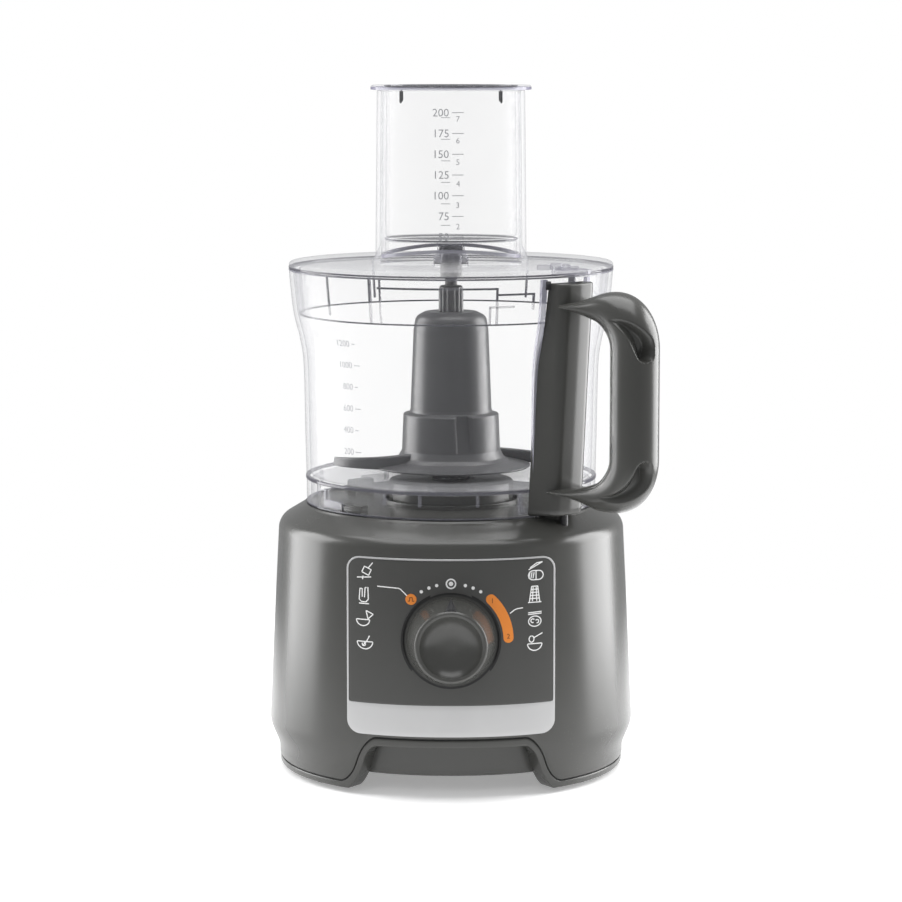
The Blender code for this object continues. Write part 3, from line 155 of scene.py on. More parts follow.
def filleted(corners, looped=False, steps=6):
    """Outline of straight runs with an arc of its own radius at each corner (u, v, radius)."""
    spots = np.array([corner[:2] for corner in corners], float)
    out = []
    count = len(spots)
    for index, (u, v, radius) in enumerate(corners):
        here = spots[index]
        if radius == 0 or (not looped and index in (0, count - 1)):
            out.append(here)
            continue
        back, ahead = spots[index - 1] - here, spots[(index + 1) % count] - here
        back_run, ahead_run = np.hypot(*back), np.hypot(*ahead)
        back, ahead = back / back_run, ahead / ahead_run
        half = math.acos(max(-1.0, min(1.0, float(back @ ahead)))) / 2
        reach = min(radius / math.tan(half), 0.49 * back_run, 0.49 * ahead_run)
        radius = reach * math.tan(half)
        middle = here + (back + ahead) / np.hypot(*(back + ahead)) * radius / math.sin(half)
        start, end = here + back * reach - middle, here + ahead * reach - middle
        sweep = math.atan2(start[0] * end[1] - start[1] * end[0], float(start @ end))
        for share in np.linspace(0.0, 1.0, steps + 1):
            c, s = math.cos(sweep * share), math.sin(sweep * share)
            out.append(middle + np.array((start[0] * c - start[1] * s, start[0] * s + start[1] * c)))
    return np.array(out)


def turned(outline, steps=96, centre=(0.0, 0.0), start=0.0, sweep=TAU):
    """Outline of (radius, height) turned about Z: rows along the outline, columns round the axis."""
    outline = np.asarray(outline, float)
    turn = start + np.linspace(0.0, sweep, steps, endpoint=sweep < TAU)
    radius, height = outline[:, :1], outline[:, 1:2]
    return np.stack((centre[0] + radius * np.cos(turn), centre[1] + radius * np.sin(turn),
                     height + 0 * turn), axis=-1)


def swung(points, turn, centre=(0.0, 0.0, 0.0)):
    """Points turned about a vertical line."""
    c, s = math.cos(turn), math.sin(turn)
    points = np.asarray(points, float) - centre
    return np.stack((points[..., 0] * c - points[..., 1] * s, points[..., 0] * s + points[..., 1] * c,
                     points[..., 2]), axis=-1) + centre


class Grid:
    """Rows and columns of points, and what closes them: looped columns, looped rows or flat ends."""

    def __init__(self, points, columns=True, rows=False, ends=False):
        self.points = np.asarray(points, float)
        self.columns, self.rows, self.ends = columns, rows, ends

    def faces(self, base):
        """Four-sided faces between the points, counted from base, and the flat ends."""
        rows, columns = self.points.shape[:2]
        i = np.arange(rows if self.rows else rows - 1)[:, None]
        j = np.arange(columns if self.columns else columns - 1)[None, :]
        after_i, after_j = (i + 1) % rows, (j + 1) % columns
        quads = np.stack((i * columns + j, i * columns + after_j, after_i * columns + after_j,
                          after_i * columns + j), axis=-1).reshape(-1, 4) + base
        out = quads.tolist()
        if self.ends:
            out.append((base + np.arange(columns))[::-1].tolist())
            out.append((base + (rows - 1) * columns + np.arange(columns)).tolist())
        return out


def set_down(name, points, faces):
    """Mesh from points in millimetres about the bowl's axis, in metres."""
    mesh = bpy.data.meshes.new(name)
    mesh.from_pydata((points.reshape(-1, 3) + HOME) * MM, [], faces)
    return mesh


def closed(mesh, gap, thin=0.0):
    """Joins doubled points, drops faces thinner than thin and turns the faces outwards."""
    work = bmesh.new()
    work.from_mesh(mesh)
    bmesh.ops.remove_doubles(work, verts=work.verts, dist=gap)
    if thin:
        bmesh.ops.dissolve_degenerate(work, edges=work.edges, dist=thin)
    bmesh.ops.recalc_face_normals(work, faces=work.faces)
    if thin and work.calc_volume(signed=True) < 0:
        bmesh.ops.reverse_faces(work, faces=work.faces)
    work.to_mesh(mesh)
    work.free()
    return mesh


def placed(name, mesh, material, body, replaces=()):
    """Object at the origin with its material and slot. It rides on a body and may stand for CAD nodes."""
    mesh.materials.append(material)
    obj = bpy.data.objects.new(name, mesh)
    bpy.context.scene.collection.objects.link(obj)
    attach(obj, body)
    if replaces:
        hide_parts(*replaces)
    return obj


def piece(name, grids, material, body, replaces=(), sharp=38.0, turn=0.0):
    """One object from one or more closed grids, in millimetres about the bowl's axis."""
    work = bmesh.new()
    for grid in grids if isinstance(grids, (list, tuple)) else [grids]:
        points = swung(grid.points, turn) if turn else grid.points
        mesh = closed(set_down(name, points, grid.faces(0)), 2e-6, 1e-7)
        work.from_mesh(mesh)
        bpy.data.meshes.remove(mesh)
    data = bpy.data.meshes.new(name)
    work.to_mesh(data)
    work.free()
    data.shade_smooth()
    data.set_sharp_from_angle(angle=math.radians(sharp))
    return placed(name, data, material, body, replaces)


# ---- materials ----------------------------------------------------------------------------------
class Wire:
    """A value in a material's node tree, for use in plain arithmetic."""

    def __init__(self, sheet, socket):
        self.sheet, self.socket = sheet, socket

    def _with(self, operation, *values):
        """A Math node on these values."""
        return self.sheet.add("ShaderNodeMath", {"operation": operation}, *values)

    def __add__(self, other):
        return self._with("ADD", self, other)

    def __radd__(self, other):
        return self._with("ADD", other, self)

    def __sub__(self, other):
        return self._with("SUBTRACT", self, other)

    def __rsub__(self, other):
        return self._with("SUBTRACT", other, self)

    def __mul__(self, other):
        return self._with("MULTIPLY", self, other)

    def __rmul__(self, other):
        return self._with("MULTIPLY", other, self)

    def __truediv__(self, other):
        return self._with("DIVIDE", self, other)

    def __pow__(self, other):
        return self._with("POWER", self, other)

    def between(self, low, high):
        """0 below low, 1 above high, and straight between."""
        return self.sheet.add("ShaderNodeMapRange", {}, self, low, high, 0.0, 1.0)


class Sheet:
    """One material: its nodes, and the shader that they end in."""

    def __init__(self, name, **shader):
        self.material = bpy.data.materials.new(name)
        self.material.use_nodes = True
        self.tree = self.material.node_tree
        self.shader = self.tree.nodes["Principled BSDF"]
        self.set(**shader)

    def add(self, kind, settings, *inputs, out=0, **named):
        """New node: its settings first, then its inputs by place or by name."""
        node = self.tree.nodes.new(kind)
        for key, value in settings.items():
            setattr(node, key, value)
        pairs = [(node.inputs[index], value) for index, value in enumerate(inputs)]
        pairs += [(node.inputs[key.replace("_", " ")], value) for key, value in named.items()]
        for socket, value in pairs:
            self.feed(socket, value)
        return Wire(self, node.outputs[out])

    def feed(self, socket, value):
        """Links a wire to a socket, or sets a plain value on it."""
        if isinstance(value, Wire):
            self.tree.links.new(value.socket, socket)
        elif value is not None:
            socket.default_value = value

    def set(self, **values):
        """Feeds the shader's sockets by name."""
        for key, value in values.items():
            if isinstance(value, tuple) and len(value) == 3 and "Normal" not in key:
                value = (*value, 1.0)
            self.feed(self.shader.inputs[key.replace("_", " ")], value)
        return self

    def place(self, scale=(1.0, 1.0, 1.0)):
        """Object coordinates, stretched."""
        spot = self.add("ShaderNodeTexCoord", {}, out="Object")
        return self.add("ShaderNodeMapping", {}, spot, Scale=scale)

    def noise(self, scale, detail=3.0, roughness=0.55, stretch=(1.0, 1.0, 1.0)):
        return self.add("ShaderNodeTexNoise", {}, Vector=self.place(stretch), Scale=scale, Detail=detail,
                        Roughness=roughness)

    def mix(self, share, low, high):
        """Colour between low and high."""
        node = self.tree.nodes.new("ShaderNodeMix")
        node.data_type = "RGBA"
        for index, value in ((0, share), (6, low), (7, high)):
            if isinstance(value, tuple) and len(value) == 3:
                value = (*value, 1.0)
            self.feed(node.inputs[index], value)
        return Wire(self, node.outputs[2])

    def bump(self, height, strength, distance):
        """Fine relief from a height."""
        return self.add("ShaderNodeBump", {}, Strength=strength, Distance=distance, Height=height)


def moulded(name, colour, roughness, grain=0.25, grain_scale=1400.0, wear=0.5):
    """Moulded plastic: fine spark-eroded grain, slow unevenness of gloss and a trace of dust."""
    sheet = Sheet(name, Specular_IOR_Level=0.5)
    grain_noise = sheet.noise(grain_scale, 2.0)
    slow = sheet.noise(18.0, 3.0)
    dust = (sheet.noise(2600.0, 1.0)).between(0.70, 0.78) * sheet.noise(30.0, 2.0).between(0.45, 0.75)
    tone = slow.between(0.3, 0.7)
    light = tuple(min(1.0, c * 1.04) for c in colour)
    deep = tuple(c * 0.96 for c in colour)
    base = sheet.mix(tone, deep, light)
    sheet.set(Base_Color=sheet.mix(dust * (0.06 * wear), base, (0.5, 0.5, 0.48)),
              Roughness=roughness + (slow - 0.5) * 0.05 + grain_noise * 0.05,
              Normal=sheet.bump(grain_noise, grain, 0.00004))
    return sheet.material


def clear(name, tint, edge, alpha, edge_alpha, power=3.0):
    """Clear plastic: nearly nothing where it is seen square on, and a grey edge where it is seen along:
    painted shade that stands in for the darkening refraction gives there.
    """
    sheet = Sheet(name, Roughness=0.06, Specular_IOR_Level=0.5, IOR=1.49)
    facing = sheet.add("ShaderNodeLayerWeight", {}, Blend=0.5, out="Facing")
    rise = facing ** power
    haze = sheet.noise(40.0, 3.0).between(0.35, 0.75)
    flow = sheet.noise(9.0, 2.0, stretch=(1.0, 1.0, 0.35))
    # The grey towards grazing angles is painted shade, not a tint of the plastic.
    sheet.set(Base_Color=sheet.mix(rise, tint, edge),
              Alpha=rise * (edge_alpha - alpha) + alpha + haze * 0.006,
              Roughness=0.04 + haze * 0.05, Normal=sheet.bump(flow, 0.15, 0.0006))
    return sheet.material


def metal(name, colour, roughness, stretch=(1.0, 1.0, 1.0), scale=900.0, metallic=1.0, stains=0.2):
    """Ground or drawn metal: fine lines along the stretch, and slow stains."""
    sheet = Sheet(name, Metallic=metallic)
    lines = sheet.noise(scale, 3.0, stretch=stretch)
    stain = sheet.noise(35.0, 4.0)
    deep = tuple(c * (1 - stains) for c in colour)
    sheet.set(Base_Color=sheet.mix(stain.between(0.35, 0.7), deep, colour),
              Roughness=roughness + (lines - 0.5) * stains,
              Normal=sheet.bump(lines, 0.2, 0.00005))
    return sheet.material


def ink(name, colour):
    """Printed ink: even, faintly rough at the scale of the screen."""
    sheet = Sheet(name, Specular_IOR_Level=0.4)
    screen = sheet.noise(3200.0, 1.0)
    deep = tuple(c * 0.88 for c in colour)
    sheet.set(Base_Color=sheet.mix(screen, deep, colour), Roughness=0.38 + screen * 0.12,
              Normal=sheet.bump(screen, 0.1, 0.00002))
    return sheet.material


def wound(name, colour):
    """Enamelled windings: rows of wire as a wave over the coil."""
    sheet = Sheet(name, Metallic=1.0)
    rows = sheet.add("ShaderNodeTexWave", {"bands_direction": "Z"}, Vector=sheet.place(), Scale=420.0,
                     Distortion=1.2, out="Fac")
    sheet.set(Base_Color=sheet.mix(rows, tuple(c * 0.45 for c in colour), colour),
              Roughness=0.32 + rows * 0.1, Normal=sheet.bump(rows, 0.8, 0.0004))
    return sheet.material


def layered(name, colour):
    """Stacked sheet iron: thin plates across Z."""
    sheet = Sheet(name, Metallic=1.0)
    plates = sheet.add("ShaderNodeTexWave", {"bands_direction": "Z"}, Vector=sheet.place(), Scale=560.0,
                       Distortion=0.3, out="Fac")
    rust = sheet.noise(120.0, 4.0).between(0.55, 0.8)
    base = sheet.mix(plates, tuple(c * 0.5 for c in colour), colour)
    sheet.set(Base_Color=sheet.mix(rust * 0.35, base, (0.22, 0.12, 0.07)), Roughness=0.42 + rust * 0.2,
              Normal=sheet.bump(plates, 0.5, 0.0003))
    return sheet.material


def make_materials():
    """Every finish by its name. A finish that carried-over parts use has the name of their slot."""
    return {
        "body_plastic": moulded("body_plastic", (0.056, 0.056, 0.052), 0.23, 0.08),
        "panel_plastic": moulded("panel_plastic", (0.058, 0.058, 0.055), 0.32, 0.3),
        "panel_print": moulded("panel_print", (0.054, 0.054, 0.051), 0.32, 0.3),
        "silver": metal("silver", (0.52, 0.52, 0.52), 0.34, (1.0, 1.0, 8.0), 700.0, 0.35, 0.04),
        "clear": clear("clear", (0.76, 0.76, 0.78), (0.34, 0.34, 0.36), 0.018, 0.62, 4.0),
        # Darker clear finishes for rims, lines and seams: painted shade for the dark edges that refraction
        # gives thick and edge-on clear plastic.
        "clear_rim_painted_shade": clear("clear_rim_painted_shade", (0.46, 0.46, 0.51), (0.12, 0.11, 0.16), 0.20, 0.86, 1.8),
        "clear_line_painted_shade": clear("clear_line_painted_shade", (0.12, 0.12, 0.14), (0.05, 0.045, 0.065), 0.72, 0.95, 1.2),
        "clear_seam_painted_shade": clear("clear_seam_painted_shade", (0.60, 0.60, 0.68), (0.10, 0.08, 0.18), 0.45, 0.95, 1.2),
        "rubber": moulded("rubber", (0.022, 0.022, 0.022), 0.72, 0.6, 900.0, 1.0),
        "tool_plastic": moulded("tool_plastic", (0.062, 0.062, 0.065), 0.30, 0.3),
        "steel": metal("steel", (0.62, 0.62, 0.63), 0.26, (1.0, 1.0, 0.05)),
        "zinc_plate": metal("zinc_plate", (0.50, 0.52, 0.54), 0.36),
        "laminations": layered("laminations", (0.36, 0.37, 0.39)),
        "copper": wound("copper", (0.72, 0.34, 0.18)),
        "brass": metal("brass", (0.78, 0.60, 0.30), 0.3),
        "nylon": moulded("nylon", (0.30, 0.30, 0.29), 0.45, 0.3),
        "black_plastic": moulded("black_plastic", (0.028, 0.028, 0.030), 0.42, 0.35),
        "board": moulded("board", (0.05, 0.22, 0.09), 0.4, 0.6, 500.0),
        "carbon": moulded("carbon", (0.045, 0.045, 0.05), 0.62, 0.6, 1200.0),
        "white_ink": ink("white_ink", (0.86, 0.86, 0.85)),
        "orange_ink": ink("orange_ink", (0.80, 0.25, 0.035)),
        "grey_ink": ink("grey_ink", (0.50, 0.50, 0.52)),
        "brown_ink": ink("brown_ink", (0.22, 0.07, 0.015)),
        # Near-black finish for painted shade in gaps and recesses, not the colour of any part.
        "painted_gap_shade": moulded("painted_gap_shade", (0.010, 0.010, 0.010), 0.6, 0.2),
    }


# ---- motor base ---------------------------------------------------------------------------------
def base_half(z):
    """Half width and half depth of the base at height z. Below the waist the sides dip as a cosine wave."""
    z = np.asarray(z, float)
    share = (SHOULDER_Z - z) / (SHOULDER_Z - WAIST_Z)
    deep = np.minimum(FRONT_SHOULDER + (FRONT_WAIST - FRONT_SHOULDER) * share, FRONT_WAIST)
    wide = SIDE_SHOULDER + (SIDE_WAIST - SIDE_SHOULDER) * share
    down = np.clip((WAIST_Z - z) / (WAIST_Z - RIM_TOP_Z - 4.0), 0.0, 1.0)
    dip = 0.5 - 0.5 * np.cos(math.pi * down)
    return np.where(z < WAIST_Z, SIDE_WAIST + (SIDE_RIM - SIDE_WAIST) * dip, wide), deep


def arch(x, shift=0.0, half=ARCH_HALF):
    """Height of the seam: low at the legs, a cosine rise to the flat middle of the front and back."""
    rise = np.clip((half + 2.0 - np.abs(x)) / (half + 2.0 - ARCH_FLAT), 0.0, 1.0)
    return RIM_TOP_Z + (ARCH_TOP + LIP_T - RIM_TOP_Z) * (0.5 - 0.5 * np.cos(math.pi * rise)) + shift


def base_wall(turn, z, inset=0.0):
    """Outline of the base at height z, or at a height for each bearing, drawn in by inset."""
    wide, deep = base_half(z)
    x, y = oval(turn, 1.0, 1.0, SQUARENESS)
    return (wide - inset) * x, (deep - inset) * y


def motor_housing(mats):
    """Drum: rows climb from the seam over the shoulder to the seat and the hub, and come back down inside."""
    turn = turns()
    seam = arch(base_wall(turn, ARCH_READ_Z)[0], SEAM)

    def wall_rows(inset, steps, roll=0.0):
        """Rows from the seam to the top of the wall. The lower edge rolls in on a quarter circle."""
        made = []
        drops = roll * np.array((0.0, 0.125, 0.4375, 1.0)) if roll else np.zeros(1)
        for drop in drops:
            back = roll - math.sqrt(max(0.0, roll ** 2 - (roll - drop) ** 2))
            made.append(level(*base_wall(turn, seam + drop, inset + back), seam + drop))
        low = seam + drops[-1]
        for share in np.linspace(0.03, 1.0, steps):
            z = low + (WALL_TOP - low) * share
            made.append(level(*base_wall(turn, z, inset), z))
        return made

    rows = wall_rows(0.0, 46, EDGE_ROLL)
    deck = filleted([(0.0, WALL_TOP, 0), (0.0, SHOULDER_Z + 0.6, 7.5), (13.2, 143.0, 1.6),
                     (14.2, SEAT_Z, 0.6), (SIDE_SHOULDER - HUB_R, SEAT_Z, 1.2),
                     (SIDE_SHOULDER - HUB_R, HUB_Z, 1.5),
                     (SIDE_SHOULDER - SPINDLE_HOLE_R, HUB_Z, 0.4),
                     (SIDE_SHOULDER - SPINDLE_HOLE_R, HUB_Z - 17.0, 0)],
                    steps=8)
    squeeze = (FRONT_SHOULDER - SEAT_R) / (SIDE_SHOULDER - SEAT_R)
    for inset, z in deck:
        outer_x, outer_y = (float(v) for v in base_half(min(z, SHOULDER_Z)))
        share = min(1.0, inset / (SIDE_SHOULDER - SEAT_R))
        round_part = inset >= SIDE_SHOULDER - SEAT_R
        half_x = SIDE_SHOULDER - inset if round_part else outer_x - inset
        half_y = half_x if round_part else outer_y - inset * squeeze
        rows.append(level(*oval(turn, half_x, half_y, SQUARENESS + (2.0 - SQUARENESS) * share), z))
    for r, z in ((SPINDLE_HOLE_R, 139.0), (74.0, 139.0), (84.0, 131.0)):
        rows.append(level(*oval(turn, r, r), z))
    rows += wall_rows(3.0, 10)[::-1]
    piece("housing_shell", Grid(np.array(rows), rows=True), mats["body_plastic"], "base",
          ["motor_housing"])
    # A near-black band set just inside the seam: painted shade, so that the gap between housing and tray
    # reads as a dark line.
    shade_band = []
    for inset, lift in ((1.3, -0.9), (1.3, 1.6), (2.6, 1.6), (2.6, -0.9)):
        shade_band.append(level(*base_wall(turn, seam + lift, inset), seam + lift))
    piece("seam_painted_shade", Grid(np.array(shade_band), rows=True), mats["painted_gap_shade"], "base")


def deck_details(mats):
    """Bayonet lugs round the seat, in pairs, and the ring that the bowl stands on."""
    lugs = []
    for quarter in range(4):
        middle = math.radians(45 + 90 * quarter)
        for low, high, out in ((-7.0, 7.0, 75.5), (-7.6, -6.0, 76.0)):
            outline = [(69.5, SEAT_Z - 0.5), (out, SEAT_Z - 0.5), (out, SEAT_Z + 4.4),
                       (out - 0.6, SEAT_Z + 4.9), (69.5, SEAT_Z + 4.9)]
            lug = turned(outline, 8, start=middle + low / 73.0, sweep=(high - low) / 73.0)
            lugs.append(Grid(np.swapaxes(lug, 0, 1), ends=True))
    piece("bayonet_lugs", lugs, mats["body_plastic"], "base")
    ring = filleted([(36.5, SEAT_Z - 0.3, 0), (36.5, SEAT_Z + 2.2, 0.6), (38.0, SEAT_Z + 2.2, 0.6),
                     (38.0, SEAT_Z - 0.3, 0)])
    piece("deck_ring", Grid(turned(ring, 160), rows=True), mats["body_plastic"], "base")


def tray(mats):
    """Tray below the seam: a lip that follows the arch, legs at the corners, a set-back wall and a floor."""
    turn = turns()
    x_at = base_wall(turn, ARCH_READ_Z)[0]
    top = arch(x_at)
    under = np.maximum(arch(x_at, -LIP_T, ARCH_HALF - 2.0), RIM_Z)
    rows = []

    def row(z, inset, outline_z=None):
        """One row at height z on the base's outline there, or on the outline at another height."""
        rows.append(level(*base_wall(turn, z if outline_z is None else outline_z, inset), z))

    for drop, inset in ((0.0, 2.0), (0.0, 0.75), (0.12, 0.55), (0.4, 0.45), (0.8, TRAY_SET_IN)):
        row(top - drop, inset)
    for share in (0.35, 0.65, 0.85):
        row(top + (under - top) * share, TRAY_SET_IN)
    for lift, inset in ((0.5, 0.45), (0.15, 0.65), (0.0, 1.1), (0.0, RECESS - 0.6)):
        row(under + lift, inset)
    inside, over_floor = RECESS + TRAY_SKIN, TRAY_FLOOR_Z + TRAY_SKIN
    for z, inset in ((np.minimum(under, ARCH_TOP - 0.4), RECESS), (TRAY_FLOOR_Z + 0.6, RECESS),
                     (TRAY_FLOOR_Z, RECESS + 0.6), (TRAY_FLOOR_Z, TRAY_MIDDLE), (over_floor, TRAY_MIDDLE),
                     (over_floor, inside), (np.maximum(under, over_floor) + 0.6, inside),
                     (np.maximum(top - 0.5, TRAY_FLOOR_Z + 3.5), RECESS + 2.0)):
        row(z, inset, WAIST_Z)
    row(top, 5.0)
    shell = piece("tray_shell", Grid(np.array(rows), rows=True), mats["body_plastic"], "base",
                  ["base_tray"])
    half_x, half_y = VENT_SIZE
    slot = filleted([(-half_x, -half_y, 1.2), (half_x, -half_y, 1.2), (half_x, half_y, 1.2),
                     (-half_x, half_y, 1.2)],
                    True, 4)
    for index in range(VENT_COUNT):
        shifted = slot + (0.0, VENT_Y + VENT_STEP * (index - (VENT_COUNT - 1) / 2))
        levels = [level(*shifted.T, z) for z in (TRAY_FLOOR_Z - 2, TRAY_FLOOR_Z + 5)]
        carve(shell, Grid(np.array(levels), ends=True))


def feet(mats):
    """Rubber feet: a turned pad with two grooves on its underside."""
    outline = filleted([(0.0, 0.0, 0), (2.4, 0.0, 0.2), (2.7, 0.5, 0.2), (3.4, 0.5, 0.2), (3.7, 0.0, 0.2),
                        (6.6, 0.0, 0.6), (7.0, 2.2, 0.3), (0.0, 2.2, 0)])
    for name in ("front_left", "front_right", "back_left", "back_right"):
        low, high = (np.array(corner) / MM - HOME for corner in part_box(f"foot_{name}"))
        centre = (low + high) / 2
        piece(f"foot_pad_{name}", Grid(turned(outline, 64, centre)), mats["rubber"], "base",
              [f"foot_{name}"])


# ---- control panel ------------------------------------------------------------------------------
def front_y(x, z):
    """Depth of the housing's front at (x, z), from the superellipse solved for y."""
    wide, deep = base_half(z)
    return -deep * (1 - np.minimum(0.999, np.abs(x) / wide) ** SQUARENESS) ** (1 / SQUARENESS)


def on_front(flat, lift):
    """Flat (x, z) points laid on the housing's front, lift proud of it."""
    flat = np.asarray(flat, float)
    x, z = flat[..., 0], flat[..., 1]
    return np.stack((x, front_y(x, z) - lift, z), axis=-1)


def front_spot(x, z):
    """Point and outward direction for print that lies on other print on the front."""
    return on_front(np.stack((x, z), axis=-1), PRINT_LIFT), np.array((0.0, -1.0, 0.0))


def rounded_frame(turn, half, low, high, corner):
    """Points of a rounded rectangle: where a ray at each bearing meets a side or a corner's arc."""
    middle, tall = (low + high) / 2, (high - low) / 2
    c, s = np.cos(turn), np.sin(turn)
    flat = np.minimum(half / np.maximum(np.abs(c), 1e-9), tall / np.maximum(np.abs(s), 1e-9))
    x, z = c * flat, s * flat
    inner_x, inner_z = half - corner, tall - corner
    in_corner = (np.abs(x) > inner_x) & (np.abs(z) > inner_z)
    b = np.abs(c) * inner_x + np.abs(s) * inner_z
    reach = b + np.sqrt(np.maximum(0.0, b * b - inner_x ** 2 - inner_z ** 2 + corner ** 2))
    x, z = np.where(in_corner, c * reach, x), np.where(in_corner, s * reach, z)
    return np.stack((x, z + middle), axis=-1)


def fascia_outline(turn, grow):
    """Outline of the dark fascia: round corners above and nearly square ones on the silver band."""
    high = rounded_frame(turn, PANEL_HALF - BORDER + grow, BAND_TOP - grow, PANEL_HIGH - BORDER + grow,
                         PANEL_CORNER - BORDER)
    low = rounded_frame(turn, PANEL_HALF - BORDER + grow, BAND_TOP - grow, PANEL_HIGH - BORDER + grow, 0.8)
    return np.where(np.sin(turn)[:, None] > 0, high, low)


def panel_sheet(inner, outer, lift, depth, rows=14):
    """Sheet between two outlines on the front. Its face stands lift proud, and its edges go depth back."""
    made = []
    for share in np.linspace(0.0, 1.0, rows):
        edge = min(share, 1 - share) * 60
        flat = inner + (outer - inner) * share
        drop = 0.0 if edge > 0.6 else 0.10
        made.append(on_front(flat, lift - drop))
    made.insert(0, on_front(inner, lift - 0.25))
    made.append(on_front(outer, lift - 0.25))
    made.append(on_front(outer, -depth))
    made.append(on_front(inner, -depth))
    return Grid(np.array(made), rows=True)


def to_front(points):
    """A turned shape laid over, so that its axis points to the front at the knob's height."""
    return np.stack((points[..., 0], -points[..., 2], points[..., 1] + KNOB_Z), axis=-1)


def control_panel(mats):
    """Fascia with its knob recess, the silver frame and the blank silver band, and painted shade in the
    recess and round the knob.
    """
    turn = turns(480)
    outer = fascia_outline(turn, 0.0)
    bearing = np.arctan2(outer[:, 1] - KNOB_Z, outer[:, 0])
    hole = np.stack((KNOB_RING * np.cos(bearing), KNOB_Z + KNOB_RING * np.sin(bearing)), axis=-1)
    piece("fascia", panel_sheet(hole, outer, 0.22, 1.2, 30), mats["panel_print"], "base",
          ["control_panel"])
    inner = fascia_outline(turn, 0.08)
    around = np.arctan2(inner[:, 1] - (PANEL_LOW + PANEL_HIGH) / 2, inner[:, 0])
    rim = rounded_frame(around, PANEL_HALF, PANEL_LOW, PANEL_HIGH, PANEL_CORNER)
    piece("panel_frame", panel_sheet(inner, rim, 0.30, 1.2, 12), mats["silver"], "base",
          ["panel_trim"])
    # The well behind the knob and the ring round it take the near-black finish: painted shade in the recess
    # and in the gap round the knob.
    well = filleted([(KNOB_RING + 0.5, 97.6, 0), (KNOB_RING + 0.5, 95.2, 0), (4.6, 95.2, 0), (4.6, 94.2, 0),
                     (KNOB_RING + 1.5, 94.2, 0), (KNOB_RING + 1.5, 97.6, 0)])
    piece("knob_well", Grid(to_front(turned(well, 96)), rows=True), mats["painted_gap_shade"], "base")
    ring = stroke(arc((0.0, KNOB_Z), KNOB_RING + 0.1, 0, 358, 180), 0.9, looped=True, lift=0.32)
    piece("knob_shadow_ring", ring, mats["painted_gap_shade"], "base")


def stroke(flat, width, looped=False, lift=PRINT_LIFT):
    """Printed line of even width along flat points, as a thin raised ribbon."""
    flat = np.asarray(flat, float)
    ahead = np.roll(flat, -1, 0) - np.roll(flat, 1, 0) if looped else np.gradient(flat, axis=0)
    ahead /= np.maximum(np.hypot(ahead[:, 0], ahead[:, 1]), 1e-9)[:, None]
    side = np.stack((-ahead[:, 1], ahead[:, 0]), axis=-1) * width / 2
    left, right = flat + side, flat - side
    under = lift - PRINT_THICK
    columns = [on_front(left, lift), on_front(right, lift), on_front(right, under), on_front(left, under)]
    points = np.stack(columns, axis=1)
    return Grid(points, rows=looped, ends=not looped)


def disc(centre, radius, lift=PRINT_LIFT, steps=28):
    """Small filled circle laid on the front."""
    turn = turns(steps)
    ring = np.stack((centre[0] + radius * np.cos(turn), centre[1] + radius * np.sin(turn)), axis=-1)
    middle = np.broadcast_to(np.array(centre, float), ring.shape)
    return Grid(np.array([on_front(middle, lift), on_front(ring, lift), on_front(ring, lift - PRINT_THICK),
                          on_front(middle, lift - PRINT_THICK)]))


def arc(centre, radius, start, end, steps=24, squash=1.0):
    """Arc from one bearing to another, in degrees clockwise from the top."""
    t = np.radians(np.linspace(start, end, steps))
    return np.stack((centre[0] + radius * np.sin(t), centre[1] + radius * squash * np.cos(t)), axis=-1)


def dial_spot(bearing):
    """Place on the knob's scale at a bearing in degrees clockwise from the top."""
    t = math.radians(bearing)
    return DIAL_R * math.sin(t), KNOB_Z + DIAL_R * math.cos(t)


def spread(points, spacing=0.8):
    """The same open line with close points and doubled corners, so that a stroke keeps its width there."""
    points = np.asarray(points, float)
    out = []
    for a, b in zip(points, points[1:]):
        count = max(2, int(np.hypot(*(b - a)) / spacing))
        inset = (b - a) / max(1e-9, np.hypot(*(b - a))) * 0.05
        out.append(np.linspace(a + inset, b - inset, count))
    return np.vstack(out)


def bowl_icon(x, z, size):
    """Open bowl in outline: a flat rim over half an oval."""
    return [[(x - size, z), (x + size, z)], arc((x, z), size, 90, 270, 16, 0.95)]


def panel_marks(mats):
    """White scale and line icons, orange pulse spot and speed arc."""
    white = []
    top = dial_spot(0)
    white += [stroke(arc(top, 2.4, 0, 345, 30), 0.75, looped=True), disc(top, 1.15)]
    for bearing in (14.4, 22.5, 31.0):
        for side in (-1, 1):
            white.append(disc(dial_spot(side * bearing), 0.88))
    white.append(stroke(spread([(-38.5, 111.9), (-27.4, 111.4), (-26.2, 110.8), (-22.9, 107.6)]), LINE_W))
    white.append(stroke(spread([(30.7, 98.0), (33.2, 99.8), (34.6, 100.3), (37.6, 100.6)]), LINE_W))
    for drawing in icons():
        white.append(stroke(spread(drawing), LINE_W))
    piece("panel_marks_white", white, mats["white_ink"], "base")
    orange = [disc(dial_spot(-44), 2.9, 0.36)]
    orange += [stroke(arc((0.0, KNOB_Z), DIAL_R, 44, 88, 40), 5.3, lift=0.36),
               disc(dial_spot(44), 2.65, 0.36), disc(dial_spot(88), 2.65, 0.36)]
    piece("panel_marks_orange", orange, mats["orange_ink"], "base")
    steps = []
    for text, bearing in (("1", 46), ("2", 86)):
        points, faces = figures(text, 2.5)
        points[:, :2] -= points[:, :2].mean(axis=0)
        x, z = dial_spot(bearing)
        steps.append(laid((points, faces), x, z, front_spot))
    scribed("panel_marks_steps", steps, mats["brown_ink"], "base")
    x, z = dial_spot(-44)
    pulse = [(x - 1.7, z - 0.9), (x - 0.7, z - 0.9), (x - 0.7, z + 0.9), (x + 0.7, z + 0.9),
             (x + 0.7, z - 0.9), (x + 1.7, z - 0.9)]
    piece("panel_marks_pulse", stroke(spread(pulse, 0.4), 0.45, lift=0.42), mats["brown_ink"], "base")


